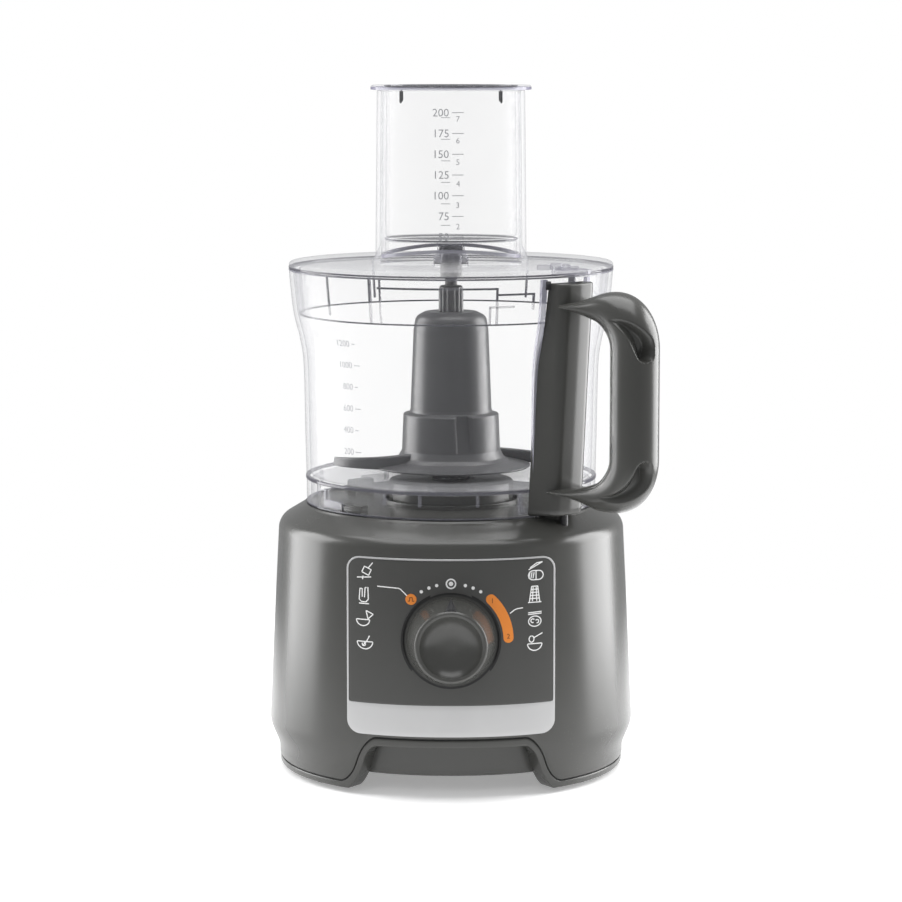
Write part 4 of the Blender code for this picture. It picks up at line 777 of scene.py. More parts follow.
def icons():
    """Eight small kitchen line drawings, four a side: arcs and straight strokes about a centre (x, z)."""
    left, right, drop = -45.0, 43.8, 1.5
    out = []
    x, z = left, 121.0
    out += [[(x - 1.6, z - 0.6), (x - 0.2, z + 2.4), (x + 3.4, z + 0.8), (x + 2.0, z - 2.2),
             (x - 1.6, z - 0.6)],
            [(x + 1.8, z + 1.6), (x + 4.2, z + 4.6)], [(x - 4.2, z - 3.6), (x + 3.4, z - 3.0)],
            [(x - 1.0, z - 2.6), (x - 1.2, z - 4.6)]]
    x, z = left, 108.6
    out += [[(x - 3.0, z - 2.6), (x - 1.8, z - 3.9), (x + 0.6, z - 3.9), (x + 1.8, z - 2.4),
             (x + 1.6, z + 4.0)],
            [(x - 3.0, z - 2.6), (x - 2.6, z + 3.0), (x - 1.4, z + 3.0), (x - 1.4, z - 1.4)],
            [(x - 0.2, z - 1.6), (x + 0.1, z + 3.6), (x + 1.0, z + 3.6)],
            [(x - 3.2, z - 4.8), (x + 2.2, z - 4.8)]]
    x, z = left, 96.0
    out += bowl_icon(x - 1.0, z - 0.6, 3.5)
    out += [[(x + 0.6, z + 4.2), (x + 4.4, z + 2.4), (x + 1.6, z - 0.2), (x + 0.6, z + 4.2)]]
    x, z = left, 83.6
    out += bowl_icon(x, z + 0.2, 4.1)
    out += [[(x - 1.0, z - 1.8), (x + 1.0, z + 0.6), (x + 2.4, z + 3.4)],
            arc((x - 0.6, z - 1.2), 0.9, 0, 320, 8)]
    x, z = right, 121.0
    loaf = arc((x - 1.0, z - 2.2), 2.4, 180, 360, 9)
    out += [np.vstack((loaf, arc((x + 2.0, z - 2.2), 2.4, 0, 180, 9), [(x - 1.0, z - 4.6)])),
            [(x + 0.6, z - 4.4), (x + 0.6, z + 0.0)], [(x - 3.4, z + 0.8), (x + 4.0, z + 4.6)],
            [(x - 2.6, z + 1.8), (x + 1.0, z + 4.2), (x + 4.0, z + 4.6)]]
    out += [[(x - 3.2 + 1.1 * k, z - 3.8), (x - 2.6 + 1.1 * k, z - 0.6)] for k in range(3)]
    x, z = right, 109.0
    out += [[(x - 2.9, z - 4.2), (x - 1.7, z + 4.0), (x + 1.5, z + 4.0), (x + 2.6, z - 4.2)],
            [(x - 3.7, z - 4.4), (x + 3.5, z - 4.4)], [(x - 0.9, z + 3.6), (x - 1.3, z - 3.8)],
            [(x + 0.7, z + 3.6), (x + 1.0, z - 3.8)]]
    out += [[(x - 1.9 - 0.16 * k, z + 2.4 - 1.6 * k),
             (x + 1.7 + 0.16 * k, z + 2.4 - 1.6 * k)] for k in range(4)]
    x, z = right, 95.8
    out += [[(x - 3.6, z + 3.4), (x + 3.6, z + 3.7)], [(x - 3.6, z + 2.5), (x + 3.6, z + 2.8)]]
    dough = arc((x, z - 1.2), 3.3, 0, 360, 26, 0.82)
    out += [dough, arc((x - 1.1, z - 0.9), 1.0, 150, 420, 9), arc((x + 1.2, z - 1.3), 0.9, -60, 200, 9)]
    x, z = right, 83.4
    out += bowl_icon(x, z - 0.6, 3.8)
    out += [arc((x - 1.7, z + 1.9), 1.3, 0, 360, 14, 1.3), [(x - 0.8, z + 2.4), (x + 4.1, z + 4.8)]]
    return [np.asarray(line, float) - (0.0, drop) for line in out]


def knob(mats):
    """Knob: a tapered body with a deep round dish and a small wedge at the top as its pointer."""
    front = -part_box("speed_knob")[0][1] / MM + HOME[1]
    back = front - KNOB_OUT - 0.6
    dish = [(r, front - 0.9 - DISH_DEPTH * (1 - (r / DISH_R) ** 3)) for r in np.linspace(0.0, DISH_R, 14)]
    outline = np.vstack((dish, filleted([(DISH_R, front - 0.9, 0), (DISH_R + 0.4, front - 0.3, 0.3),
                                         (17.9, front, 0.8), (18.9, front - 1.0, 0.9),
                                         (20.5, front - 8.0, 6.0),
                                         (22.4, front - 16.0, 6.0), (23.2, back, 0), (0.0, back, 0)],
                                        steps=8)[1:]))
    piece("knob_body", Grid(to_front(turned(outline, 240))), mats["body_plastic"], "knob",
          ["speed_knob"], sharp=50)
    rows = []
    for share in np.linspace(0.0, 1.0, 12):
        depth = front - 1.2 - 15.0 * share
        base = np.interp(depth, [back, front - 15.0, front - 6.0, front - 0.9], [23.2, 22.1, 20.0, 18.9])
        half = 3.0 * (1 - share) + 0.25
        section = np.array([(-half, -0.6), (half, -0.6), (half * 0.9, 0.25), (half * 0.3, 0.9),
                            (-half * 0.3, 0.9), (-half * 0.9, 0.25)])
        rows.append(np.column_stack((section[:, 0], np.full(6, -depth),
                                     KNOB_Z + np.sqrt((base + section[:, 1]) ** 2 - section[:, 0] ** 2))))
    # The wedge takes darker plastic than the knob: painted shade, standing in for the dark inside of the
    # pointer's notch.
    piece("knob_pointer", Grid(np.array(rows), ends=True), mats["black_plastic"], "knob")


# ---- bowl ---------------------------------------------------------------------------------------
def smooth_wall(count=42):
    """The bowl's outer wall as a smooth curve through its stations, by Catmull-Rom."""
    stations = np.array([(r, z) for z, r in BOWL_WALL])
    padded = np.vstack((2 * stations[0] - stations[1], stations, 2 * stations[-1] - stations[-2]))
    t = np.linspace(0.0, 1.0, count // (len(stations) - 1), endpoint=False)[:, None]
    runs = [0.5 * (2 * b + (c - a) * t + (2 * a - 5 * b + 4 * c - d) * t ** 2
                   + (3 * b - a - 3 * c + d) * t ** 3)
            for a, b, c, d in zip(padded, padded[1:], padded[2:], padded[3:])]
    return np.vstack(runs + [stations[-1:]])


def wall_at(z):
    """Outer radius of the bowl at height z, from the smooth wall."""
    curve = smooth_wall()
    return np.interp(z, curve[:, 1], curve[:, 0])


def patch(low, high, start, end, out, thick, steps=12, rows=2):
    """Piece of wall between two heights and two bearings (degrees), standing from out - thick to out."""
    z = np.linspace(low, high, rows)
    inner, outer = out(z) - thick, out(z)
    outline = np.vstack((np.stack((inner, z), axis=-1), np.stack((outer, z), axis=-1)[::-1]))
    made = turned(outline, steps, start=math.radians(start), sweep=math.radians(end - start))
    return Grid(np.swapaxes(made, 0, 1), ends=True)


def bowl(mats):
    """Clear bowl: flared wall, rounded rim, floor and tunnel as one skin, and rims of their own whose darker
    finish is painted shade.
    """
    wall = smooth_wall()
    outside = wall[1:-1]
    inside = np.array([(r - CLEAR_T, z) for r, z in wall[::-1] if BOWL_FLOOR + 5 < z < 270.5])
    floor = filleted([(76.8, BOWL_FLOOR + 5.0, 0), (76.8, BOWL_FLOOR, 4.5),
                      (TUNNEL_IN + CLEAR_T, BOWL_FLOOR, 2.0),
                      (TUNNEL_IN + CLEAR_T, TUNNEL_TOP, 0.8), (TUNNEL_IN, TUNNEL_TOP, 0.8),
                      (TUNNEL_IN, BOWL_FLOOR - CLEAR_T, 0.3), (76.6, BOWL_FLOOR - CLEAR_T, 1.0),
                      (76.6, 145.0, 0)])
    outline = np.vstack((outside, [(88.0, 271.2), (87.4, 271.7), (86.4, 271.7), (85.8, 271.2)], inside,
                         floor, [(76.9, 144.6), (77.4, 144.5), (78.4, 144.5), (78.8, 144.8)]))
    piece("bowl_body", Grid(turned(outline, 192), rows=True), mats["clear"], "bowl", ["bowl"],
          sharp=50)
    # Rims in the darker clear finishes: painted shade along the edges.
    rims = [filleted([(77.2, 157.6, 0.3), (79.30, 157.6, 0.3), (79.30, 159.4, 0.6), (77.2, 159.4, 0.3)],
                     True, 3),
            filleted([(76.5, 144.45, 0.3), (79.0, 144.45, 0.3), (79.0, 145.3, 0.3), (76.5, 145.3, 0.3)],
                     True, 3),
            filleted([(86.2, 270.9, 0.2), (88.1, 270.9, 0.2), (88.1, 271.75, 0.3), (86.2, 271.75, 0.3)],
                     True, 3)]
    for name, rim, finish in zip(("floor", "foot", "mouth"), rims,
                                 ("clear_line_painted_shade", "clear_line_painted_shade", "clear_rim_painted_shade")):
        piece(f"bowl_rim_{name}", Grid(turned(rim, 192), rows=True), mats[finish], "bowl")
    # Bayonet bits in a darker clear finish: painted shade on the thick clear parts.
    bits = []
    for bearing in (45, 135, 225, 315):
        bits.append(patch(146.0, 150.0, bearing - 16, bearing - 4, lambda z: 77.2 + 0 * z, 1.6))
        bits.append(patch(146.0, 155.5, bearing - 17, bearing - 15.6, lambda z: 77.2 + 0 * z, 2.4, 3))
    for bearing in (-118, -103, -80, -62, 20, 70, 110, 160, 200):
        bits.append(patch(151.0, 157.4, bearing, bearing + 1.1, lambda z: 77.0 + 0 * z, 1.8, 3))
    piece("bowl_bayonet", bits, mats["clear_rim_painted_shade"], "bowl")
    # Strips either side of the handle in a darker clear finish: painted shade along the seams.
    seam = []
    reach = math.degrees(15.2 / 82.0)
    for side in (-1, 1):
        edge = math.degrees(HANDLE_TURN) + side * reach
        seam.append(patch(146.0, 270.5, edge - 1.0, edge + 1.0, lambda z: wall_at(z) + 1.3, 2.2, 3, 40))
    piece("bowl_handle_seams", seam, mats["clear_seam_painted_shade"], "bowl")


def bowl_scale(mats):
    """Volume marks printed on the bowl's wall at the front left: a number and a dash at every step."""
    made = []
    for index, value in enumerate((1200, 1000, 800, 600, 400, 200)):
        height = BOWL_MARK_TOP - BOWL_MARK_STEP * index
        points, faces = figures(str(value), 3.4)
        points[:, 0] -= points[:, 0].max() - 1.0
        made.append(laid((points, faces), 0.0, height - 1.6, bowl_spot))
        made.append(laid(bar(2.4, 4.6 + 1.6 * (index % 2), 0.45), 0.0, height, bowl_spot))
    scribed("bowl_marks", made, mats["grey_ink"], "bowl")


def bowl_spot(x, z):
    """Point on the bowl's wall, x round it from the scale's bearing and z up."""
    turn = math.radians(BOWL_MARK_BEARING) + x / 80.0
    r = wall_at(z)
    return level(r * np.cos(turn), r * np.sin(turn), z), level(np.cos(turn), np.sin(turn), 0.0)


def figures(text, height):
    """Plain digits as a flat block, thick along Z, with their lower left corner at the origin."""
    curve = bpy.data.curves.new("figures", "FONT")
    curve.body, curve.size, curve.extrude = text, 1.0, 0.5
    curve.resolution_u = 3
    holder = bpy.data.objects.new("figures", curve)
    bpy.context.scene.collection.objects.link(holder)
    graph = bpy.context.evaluated_depsgraph_get()
    mesh = bpy.data.meshes.new_from_object(holder.evaluated_get(graph))
    points = np.empty(len(mesh.vertices) * 3)
    mesh.vertices.foreach_get("co", points)
    points = points.reshape(-1, 3)
    faces = [tuple(face.vertices) for face in mesh.polygons]
    bpy.data.objects.remove(holder)
    bpy.data.curves.remove(curve)
    bpy.data.meshes.remove(mesh)
    points[:, :2] -= points[:, :2].min(axis=0)
    points[:, :2] *= height / points[:, 1].max()
    return points, faces


def bar(left, right, width, steps=6):
    """Short level dash as a flat block like figures() gives."""
    x = np.linspace(left, right, steps)
    low, high = np.full_like(x, -width / 2), np.full_like(x, width / 2)
    rings = [level(x, y, z) for y, z in ((low, -0.5), (high, -0.5), (high, 0.5), (low, 0.5))]
    grid = Grid(np.stack(rings, axis=1), ends=True)
    return grid.points.reshape(-1, 3), [tuple(face) for face in grid.faces(0)]


def laid(flat, x, z, surface):
    """Flat print carried to a surface: surface(x, z) gives its point and its outward direction."""
    points, faces = flat
    spot, out = surface(points[:, 0] + x, points[:, 1] + z)
    return spot + out * (points[:, 2:3] + 0.3) * PRINT_THICK, faces


def scribed(name, parts, material, body):
    """One object from several prints."""
    points, faces, base = [], [], 0
    for spots, found in parts:
        points.append(spots)
        faces += [tuple(np.array(face) + base) for face in found]
        base += len(spots)
    mesh = closed(set_down(name, np.vstack(points), faces), 1e-7)
    return placed(name, mesh, material, body)


# ---- lid and pusher -----------------------------------------------------------------------------
def tube_ring(z, grow=0.0, steps=192):
    """Outline of the feed tube at height z; it draws in a little as it rises."""
    taper = 1.0 - 2.0 * (z - LID_Z) / (TUBE_TOP - LID_Z)
    x, y = oval(turns(steps), TUBE_X_HALF + 0.5 * taper + grow,
                TUBE_Y_HALF + 0.5 * taper + grow, TUBE_POWER)
    return level(x, y + TUBE_Y, z)


def lid(mats):
    """Clear lid: plate with a rolled rim, skirt inside the bowl, oval feed tube and a fluted hub."""
    heights = np.linspace(270.6, LID_SKIRT, 12)
    skirt = np.stack((wall_at(heights) - CLEAR_T - 0.9, heights), axis=-1)
    inner = skirt[::-1] - (1.8, 0.0)
    plate = filleted([(9.5, LID_TOP, 0), (LID_R - 0.2, LID_TOP, 1.3), (LID_R, LID_Z + 0.1, 0.6),
                      (85.2, LID_Z, 0.3), (84.6, 270.9, 0)])
    outline = np.vstack((plate, skirt, inner, [(82.2, LID_Z - 0.1), (9.5, LID_Z - 0.1)]))
    cover = piece("lid_plate", Grid(turned(outline, 192), rows=True), mats["clear"], "lid",
                  ["lid"], sharp=50)
    mouth = np.array([tube_ring(z, -CLEAR_T - 0.4) for z in (LID_Z - 6.0, LID_TOP + 6.0)])
    mouth[..., 1] = np.maximum(mouth[..., 1], 12.0)
    carve(cover, Grid(mouth, ends=True))
    rise = np.linspace(LID_TOP - 0.3, TUBE_TOP, 24)
    wall = [tube_ring(LID_TOP - 0.3, 1.4), tube_ring(LID_TOP + 0.2, 0.8), tube_ring(LID_TOP + 0.8, 0.3)]
    wall += [tube_ring(z) for z in rise[1:-1]]
    wall += [tube_ring(TUBE_TOP - 0.3), tube_ring(TUBE_TOP, -0.4), tube_ring(TUBE_TOP, -1.6),
             tube_ring(TUBE_TOP - 0.5, -CLEAR_T)]
    wall += [tube_ring(z, -CLEAR_T) for z in rise[-2::-4]]
    piece("feed_tube", Grid(np.array(wall), rows=True), mats["clear"], "lid", sharp=50)
    # Rims in a darker clear finish: painted shade along the edges.
    rims = [filleted([(86.0, 272.0, 0.2), (88.1, 272.1, 0.3), (88.12, 273.0, 0.3), (86.6, 273.0, 0.3)],
                     True, 3),
            filleted([(81.4, 246.9, 0.2), (82.5, 246.9, 0.2), (82.5, 247.7, 0.2), (81.4, 247.7, 0.2)],
                     True, 3)]
    piece("lid_rims", [Grid(turned(rim, 192), rows=True) for rim in rims], mats["clear_line_painted_shade"], "lid")
    # Hub in a darker clear finish: painted shade on the thick clear part.
    hub_turn = turns(144)
    rows = []
    for r, z, deep in ((6.3, LID_TOP - 0.2, 0.0), (9.0, LID_TOP - 0.2, 0.0), (9.0, LID_TOP + 0.6, 0.5),
                       (8.6, LID_TOP + 3.0, 0.6), (8.2, LID_TOP + 3.6, 0.2), (7.2, LID_TOP + 4.4, 0.5),
                       (6.9, 282.6, 0.5), (6.6, 284.2, 0.1), (6.0, 284.5, 0.0), (0.0, 284.5, 0.0),
                       (0.0, 283.2, 0.0), (5.8, 283.2, 0.0), (6.1, 282.6, 0.0)):
        radius = r + deep * np.cos(LID_FLUTES * hub_turn)
        rows.append(level(radius * np.cos(hub_turn), radius * np.sin(hub_turn), z))
    piece("lid_hub", Grid(np.array(rows), rows=True), mats["clear_rim_painted_shade"], "lid", sharp=50)
    lid_skirt_details(mats)
    locking_tab(mats)


def lid_skirt_details(mats):
    """Ribs and lock slots moulded on the lid's skirt."""

    def inside(z):
        """Radius that the ribs reach, just inside the skirt."""
        return wall_at(z) - CLEAR_T - 2.8

    # Ribs in a darker clear finish: painted shade on the thick clear parts.
    parts = [patch(low, high, start, end, inside, thick, steps, rows)
             for low, high, start, end, thick, steps, rows in SKIRT_RIBS]
    piece("lid_skirt_ribs", parts, mats["clear_rim_painted_shade"], "lid")


def locking_tab(mats):
    """Tab over the handle's column, with the raised blocks that press the interlock rod."""
    top = LID_TOP + 0.1
    outline = filleted([(85.4, -10.0, 0.4), (96.4, -10.0, 2.6), (98.4, -4.0, 3.0), (98.4, 4.0, 3.0),
                        (96.4, 10.0, 2.6), (85.4, 10.0, 0.4)], True, 5)
    middle = outline.mean(axis=0)
    rows = []
    for inset, z in ((0.5, 272.7), (0.0, 273.1), (0.0, top - 0.5), (0.15, top - 0.15), (0.5, top)):
        shrunk = (outline - middle) * (1 - inset / 8.0) + middle
        rows.append(level(*shrunk.T, z))
    # Tab and blocks in a darker clear finish: painted shade on the thick clear parts.
    piece("lid_tab", Grid(np.array(rows), ends=True), mats["clear_rim_painted_shade"], "lid", turn=HANDLE_TURN)
    blocks = []
    for centre, half, z_low, z_high, tilt in TAB_BLOCKS:
        ring = oval(turns(28), half[0], half[1], 5.0)
        rows = [level(ring[0] * grow, ring[1] * grow, z) for grow, z in
                ((1.0, z_low), (1.0, z_high - 0.6), (0.93, z_high - 0.1), (0.8, z_high))]
        blocks.append(Grid(swung(np.array(rows), tilt) + (*centre, 0.0), ends=True))
    piece("lid_tab_blocks", blocks, mats["clear_rim_painted_shade"], "lid", turn=HANDLE_TURN)


def pusher(mats):
    """Clear measuring cup: an oval wall with a flange on top, a floor, and an arched lower edge."""
    room = CLEAR_T + PUSHER_GAP
    inset, thick = -room, PUSHER_WALL
    lift = PUSHER_ARCH * (0.5 + 0.5 * np.cos(2 * (turns(192) - math.pi / 2)))

    def ring(z, grow, raised=0.0):
        """Outline of the feed tube grown or drawn in, with a raise of its own at each bearing."""
        made = tube_ring(z, grow)
        made[:, 2] += raised
        return made

    bottom = PUSHER_SKIRT - 2.6
    rows = [ring(bottom, inset - 0.9, lift), ring(bottom, inset - 0.3, lift),
            ring(bottom + 0.4, inset, lift)]
    for share in np.linspace(0.06, 1.0, 18):
        rows.append(ring(bottom + 0.4 + (TUBE_TOP + 0.3 - bottom - 0.4) * share, inset, lift * (1 - share)))
    rows += [ring(TUBE_TOP + 0.35, 2.6), ring(TUBE_TOP + 0.6, 3.2), ring(TUBE_TOP + 1.4, 3.4),
             ring(PUSHER_TOP - 0.5, 3.3), ring(PUSHER_TOP, 2.7), ring(PUSHER_TOP, inset - thick + 0.7),
             ring(PUSHER_TOP - 0.7, inset - thick)]
    rows += [ring(z, inset - thick) for z in np.linspace(364.0, PUSHER_FLOOR + 4.0, 8)]
    rows += [ring(PUSHER_FLOOR + 2.0, inset - thick - 1.2), ring(PUSHER_FLOOR + 2.0, -28.0),
             ring(PUSHER_FLOOR, -28.0), ring(PUSHER_FLOOR, inset - thick - 0.4)]
    body = np.array(rows)
    floor = body[-3:-1]
    floor[..., :2] = (0.0, TUBE_Y)
    last = [ring(PUSHER_FLOOR - 0.8, inset - thick), ring(bottom + 0.4, inset - thick, lift),
            ring(bottom, inset - 1.6, lift)]
    piece("pusher_cup", Grid(np.concatenate((body, last)), rows=True), mats["clear"], "pusher",
          ["pusher"], sharp=50)
    edge = [ring(bottom - 0.1, inset + 0.05, lift), ring(bottom + 1.7, inset + 0.05, lift),
            ring(bottom + 1.7, inset - thick - 0.05, lift), ring(bottom - 0.1, inset - thick - 0.05, lift)]
    flange = [ring(TUBE_TOP + 0.5, 3.45), ring(TUBE_TOP + 1.9, 3.45), ring(TUBE_TOP + 1.9, 0.6),
              ring(TUBE_TOP + 0.5, 0.6)]
    mouth = [ring(PUSHER_TOP - 1.6, inset - thick - 0.02), ring(PUSHER_TOP, inset - thick + 0.5),
             ring(PUSHER_TOP - 0.02, inset - thick + 1.2), ring(PUSHER_TOP - 1.6, inset - thick + 0.4)]
    floor_line = [ring(PUSHER_FLOOR + 0.6, inset - thick - 0.6),
                  ring(PUSHER_FLOOR + 1.5, inset - thick - 0.6),
                  ring(PUSHER_FLOOR + 1.5, inset - thick + 0.3),
                  ring(PUSHER_FLOOR + 0.6, inset - thick + 0.3)]
    # Rims in the darker clear finishes: painted shade along the pusher's edges.
    for name, rows, finish in (("edge", edge, "clear_seam_painted_shade"), ("flange", flange, "clear_seam_painted_shade"),
                               ("mouth", mouth, "clear_line_painted_shade"), ("floor", floor_line, "clear_rim_painted_shade")):
        piece(f"pusher_rim_{name}", Grid(np.array(rows), rows=True), mats[finish], "pusher")
    ribs = []
    for side in (-1, 1):
        for end in (-1, 1):
            x = side * PUSHER_RIB_X
            depth = (1 - (PUSHER_RIB_X / PUSHER_RIB_SPAN) ** TUBE_POWER) ** (1 / TUBE_POWER)
            y = TUBE_Y + end * (TUBE_Y_HALF - room + 0.5) * depth
            ring_x, ring_y = oval(turns(16), 0.7, 0.8, 4.0)
            rows = [level(ring_x * s + x, ring_y * s + y, z) for s, z in
                    ((0.5, 360.6), (1.0, 361.6), (1.0, TUBE_TOP + 0.6))]
            ribs.append(Grid(np.array(rows), ends=True))
    piece("pusher_ribs", ribs, mats["clear"], "pusher")
    marks = []
    for index, value in enumerate((50, 75, 100, 125, 150, 175, 200)):
        height = PUSHER_MARK_LOW + PUSHER_MARK_STEP * index
        points, faces = figures(str(value), 4.2)
        points[:, 0] -= points[:, 0].max() + 1.2
        marks.append(laid((points, faces), 0.0, height - 2.1, pusher_spot))
        marks.append(laid(bar(0.6, 6.8, 0.4), 0.0, height, pusher_spot))
        second = height - 4.4 + 0.42 * index
        if index > 0:
            marks.append(laid(bar(-5.4, -0.4, 0.35), 0.0, second - 0.8, pusher_spot))
            points, faces = figures(str(index + 1), 3.0)
            marks.append(laid((points, faces), 2.8, second - 3.0, pusher_spot))
    scribed("pusher_marks", marks, mats["grey_ink"], "pusher")


def pusher_spot(x, z):
    """Point on the front of the pusher's wall at (x, z)."""
    room = CLEAR_T + PUSHER_GAP
    half_x, half_y = TUBE_X_HALF - room, TUBE_Y_HALF - room
    share = np.clip(np.abs(x) / half_x, 0.0, 0.99)
    y = TUBE_Y - half_y * (1 - share ** TUBE_POWER) ** (1 / TUBE_POWER)
    return np.stack((x, y - 0.45, z), axis=-1), np.array((0.0, -1.0, 0.0))


def carve(obj, grid, turn=0.0):
    """Cuts a closed grid out of a piece."""
    points = swung(grid.points, turn) if turn else grid.points
    cutter = bpy.data.objects.new("cutter", closed(set_down("cutter", points, grid.faces(0)), 1e-7))
    bpy.context.scene.collection.objects.link(cutter)
    step = obj.modifiers.new("cut", "BOOLEAN")
    step.operation, step.object = "DIFFERENCE", cutter
    graph = bpy.context.evaluated_depsgraph_get()
    made = bpy.data.meshes.new_from_object(obj.evaluated_get(graph))
    made.set_sharp_from_angle(angle=math.radians(45))
    obj.modifiers.remove(step)
    obj.data = made
    bpy.data.objects.remove(cutter)


# ---- handle -------------------------------------------------------------------------------------
def column(mats):
    """Handle column: a nose outside the bowl's wall that leans out as it rises, bored for the rod."""
    rows = []
    levels = np.concatenate(([COLUMN_LOW, 145.7, 146.6], np.linspace(149.0, 263.0, 46),
                             [265.6, 267.4, 268.2, COLUMN_TOP]))
    for z in levels:
        share = (z - COLUMN_FOOT) / (COLUMN_TOP - COLUMN_FOOT)
        wall = float(wall_at(z))
        edge = 0.9 if z in (COLUMN_LOW, COLUMN_TOP) else 0.35 if z in (145.7, 268.2) else 0.0
        out = 90.3 + 7.8 * share - edge
        half = 17.8 - 5.0 * share - edge
        nose = 10.2 + 2.2 * share - edge
        near = math.sqrt(wall ** 2 - half ** 2)
        front = filleted([(near, -half, 0), (out - 0.5, -nose, 6.5), (out, 0.0, 30.0),
                          (out - 0.5, nose, 6.5), (near, half, 0)], steps=8)
        back_y = np.linspace(half, -half, 25)[1:-1]
        back_x = np.sqrt((wall + 0.45) ** 2 - back_y ** 2)
        flat = np.vstack((front, np.stack((back_x, back_y), axis=-1)))
        rows.append(level(*flat.T, z))
    shaft = piece("handle_column_shell", Grid(np.array(rows), ends=True), mats["body_plastic"], "bowl",
                  ["handle_column"], sharp=45, turn=HANDLE_TURN)
    lean = (ROD_HIGH[0] - ROD_LOW[0]) / (ROD_HIGH[1] - ROD_LOW[1])
    bore = []
    for z, r in ((140.0, 2.5), (233.7, 2.5), (233.7, 4.1), (280.0, 4.1)):
        x = ROD_LOW[0] + lean * (z - ROD_LOW[1])
        bore.append(level(x + r * np.cos(turns(24)), r * np.sin(turns(24)), z))
    carve(shaft, Grid(np.array(bore), ends=True), HANDLE_TURN)
    # A black block set in the window near the column's top: painted shade for the dark inside of the opening.
    window = filleted([(-1.6, 265.2, 0.4), (1.6, 265.2, 0.4), (1.6, 269.6, 0.4), (-1.6, 269.6, 0.4)],
                      True, 3)
    rows = [np.column_stack((np.full(len(window), x), window[:, 0] - 14.2, window[:, 1]))
            for x in (83.6, 88.2)]
    piece("column_window_shade", Grid(np.array(rows), ends=True), mats["black_plastic"], "bowl",
          turn=HANDLE_TURN)


def grip_path(steps=320):
    """Centre line of the grip in its plane: out from the column, round, down, round and back."""
    r = GRIP_CORNER
    corners = [(95.5, GRIP_TOP_Z, 0), (GRIP_X, GRIP_TOP_Z, r), (GRIP_X, GRIP_LOW_Z, r),
               (87.5, GRIP_LOW_Z, 0)]
    rough = filleted(corners, steps=24)
    run = np.concatenate(([0.0], np.cumsum(np.hypot(*np.diff(rough, axis=0).T))))
    at = np.linspace(0.0, run[-1], steps)
    path = np.stack((np.interp(at, run, rough[:, 0]), np.interp(at, run, rough[:, 1])), axis=-1)
    for _ in range(3):
        path[1:-1] = 0.25 * path[:-2] + 0.5 * path[1:-1] + 0.25 * path[2:]
    ahead = np.gradient(path, axis=0)
    ahead /= np.hypot(ahead[:, 0], ahead[:, 1])[:, None]
    return at, path, np.stack((-ahead[:, 1], ahead[:, 0]), axis=-1)


def round_cone(u, v, start, end, small, large):
    """Signed distance to a teardrop: a small circle at start, a large one at end, and their tangents."""
    start, end = np.array(start, float), np.array(end, float)
    span = np.hypot(*(end - start))
    way = (end - start) / span
    du, dv = u - start[0], v - start[1]
    along = du * way[0] + dv * way[1]
    across = np.abs(-du * way[1] + dv * way[0])
    lean = (small - large) / span
    rise = math.sqrt(1 - lean * lean)
    k = -lean * across + rise * along
    near, far = np.hypot(across, along) - small, np.hypot(across, along - span) - large
    return np.where(k < 0, near, np.where(k > rise * span, far, across * rise + along * lean - small))


def grip(mats):
    """Grip: an oval section on the centre line, a thin blade at the column, with a scoop at each corner."""
    at, path, normal = grip_path()
    steps = 180
    turn = turns(steps)
    share = np.clip((path[:, 0] - BLADE_START) / (GRIP_X - BLADE_START), 0.0, 1.0)
    share = share * share * (3 - 2 * share)
    thick = BLADE_THICK + (GRIP_R - BLADE_THICK) * share
    wide = BLADE_HALF + (GRIP_R - BLADE_HALF) * share
    u, v = oval(turn, 1.0, 1.0, 2.15)
    bearing = np.where(turn > math.pi, turn - TAU, turn)
    around = GRIP_R * bearing[None, :]
    run = at[:, None] + 0 * around
    sink = np.zeros_like(run)
    flank, outer = -math.pi / 2, math.radians(SCOOP_BEARING)
    for tip, deep in (GRIP_SCOOP_TOP, GRIP_SCOOP_LOW):
        d = round_cone(run, around, (tip, GRIP_R * flank), (deep, GRIP_R * outer), 0.6, SCOOP_R)
        fill = np.sin(np.clip(-d / 3.2, 0.0, 1.0) * math.pi / 2)
        ramp = np.clip((run - tip) / (deep - tip), 0.0, 1.3) ** 0.8
        sink = np.maximum(sink, SCOOP_DEPTH * fill * ramp)
    groove = np.abs(np.abs(bearing) - math.radians(GROOVE_BEARING)) * GRIP_R
    groove = GROOVE_DEPTH * np.clip(1 - groove / GROOVE_HALF, 0.0, 1.0)
    sink = np.maximum(sink, groove[None, :] * share[:, None])
    reach = np.hypot(u[None, :] * thick[:, None], v[None, :] * wide[:, None])
    keep = 1 - sink / np.maximum(reach, 1.0)
    across = u[None, :] * thick[:, None] * keep
    points = np.zeros((len(path), steps, 3))
    points[:, :, 0] = path[:, :1] + normal[:, :1] * across
    points[:, :, 2] = path[:, 1:2] + normal[:, 1:2] * across
    points[:, :, 1] = v[None, :] * wide[:, None] * keep
    piece("handle_grip_body", Grid(points, ends=True), mats["body_plastic"], "bowl",
          ["handle_grip"], sharp=55, turn=HANDLE_TURN)


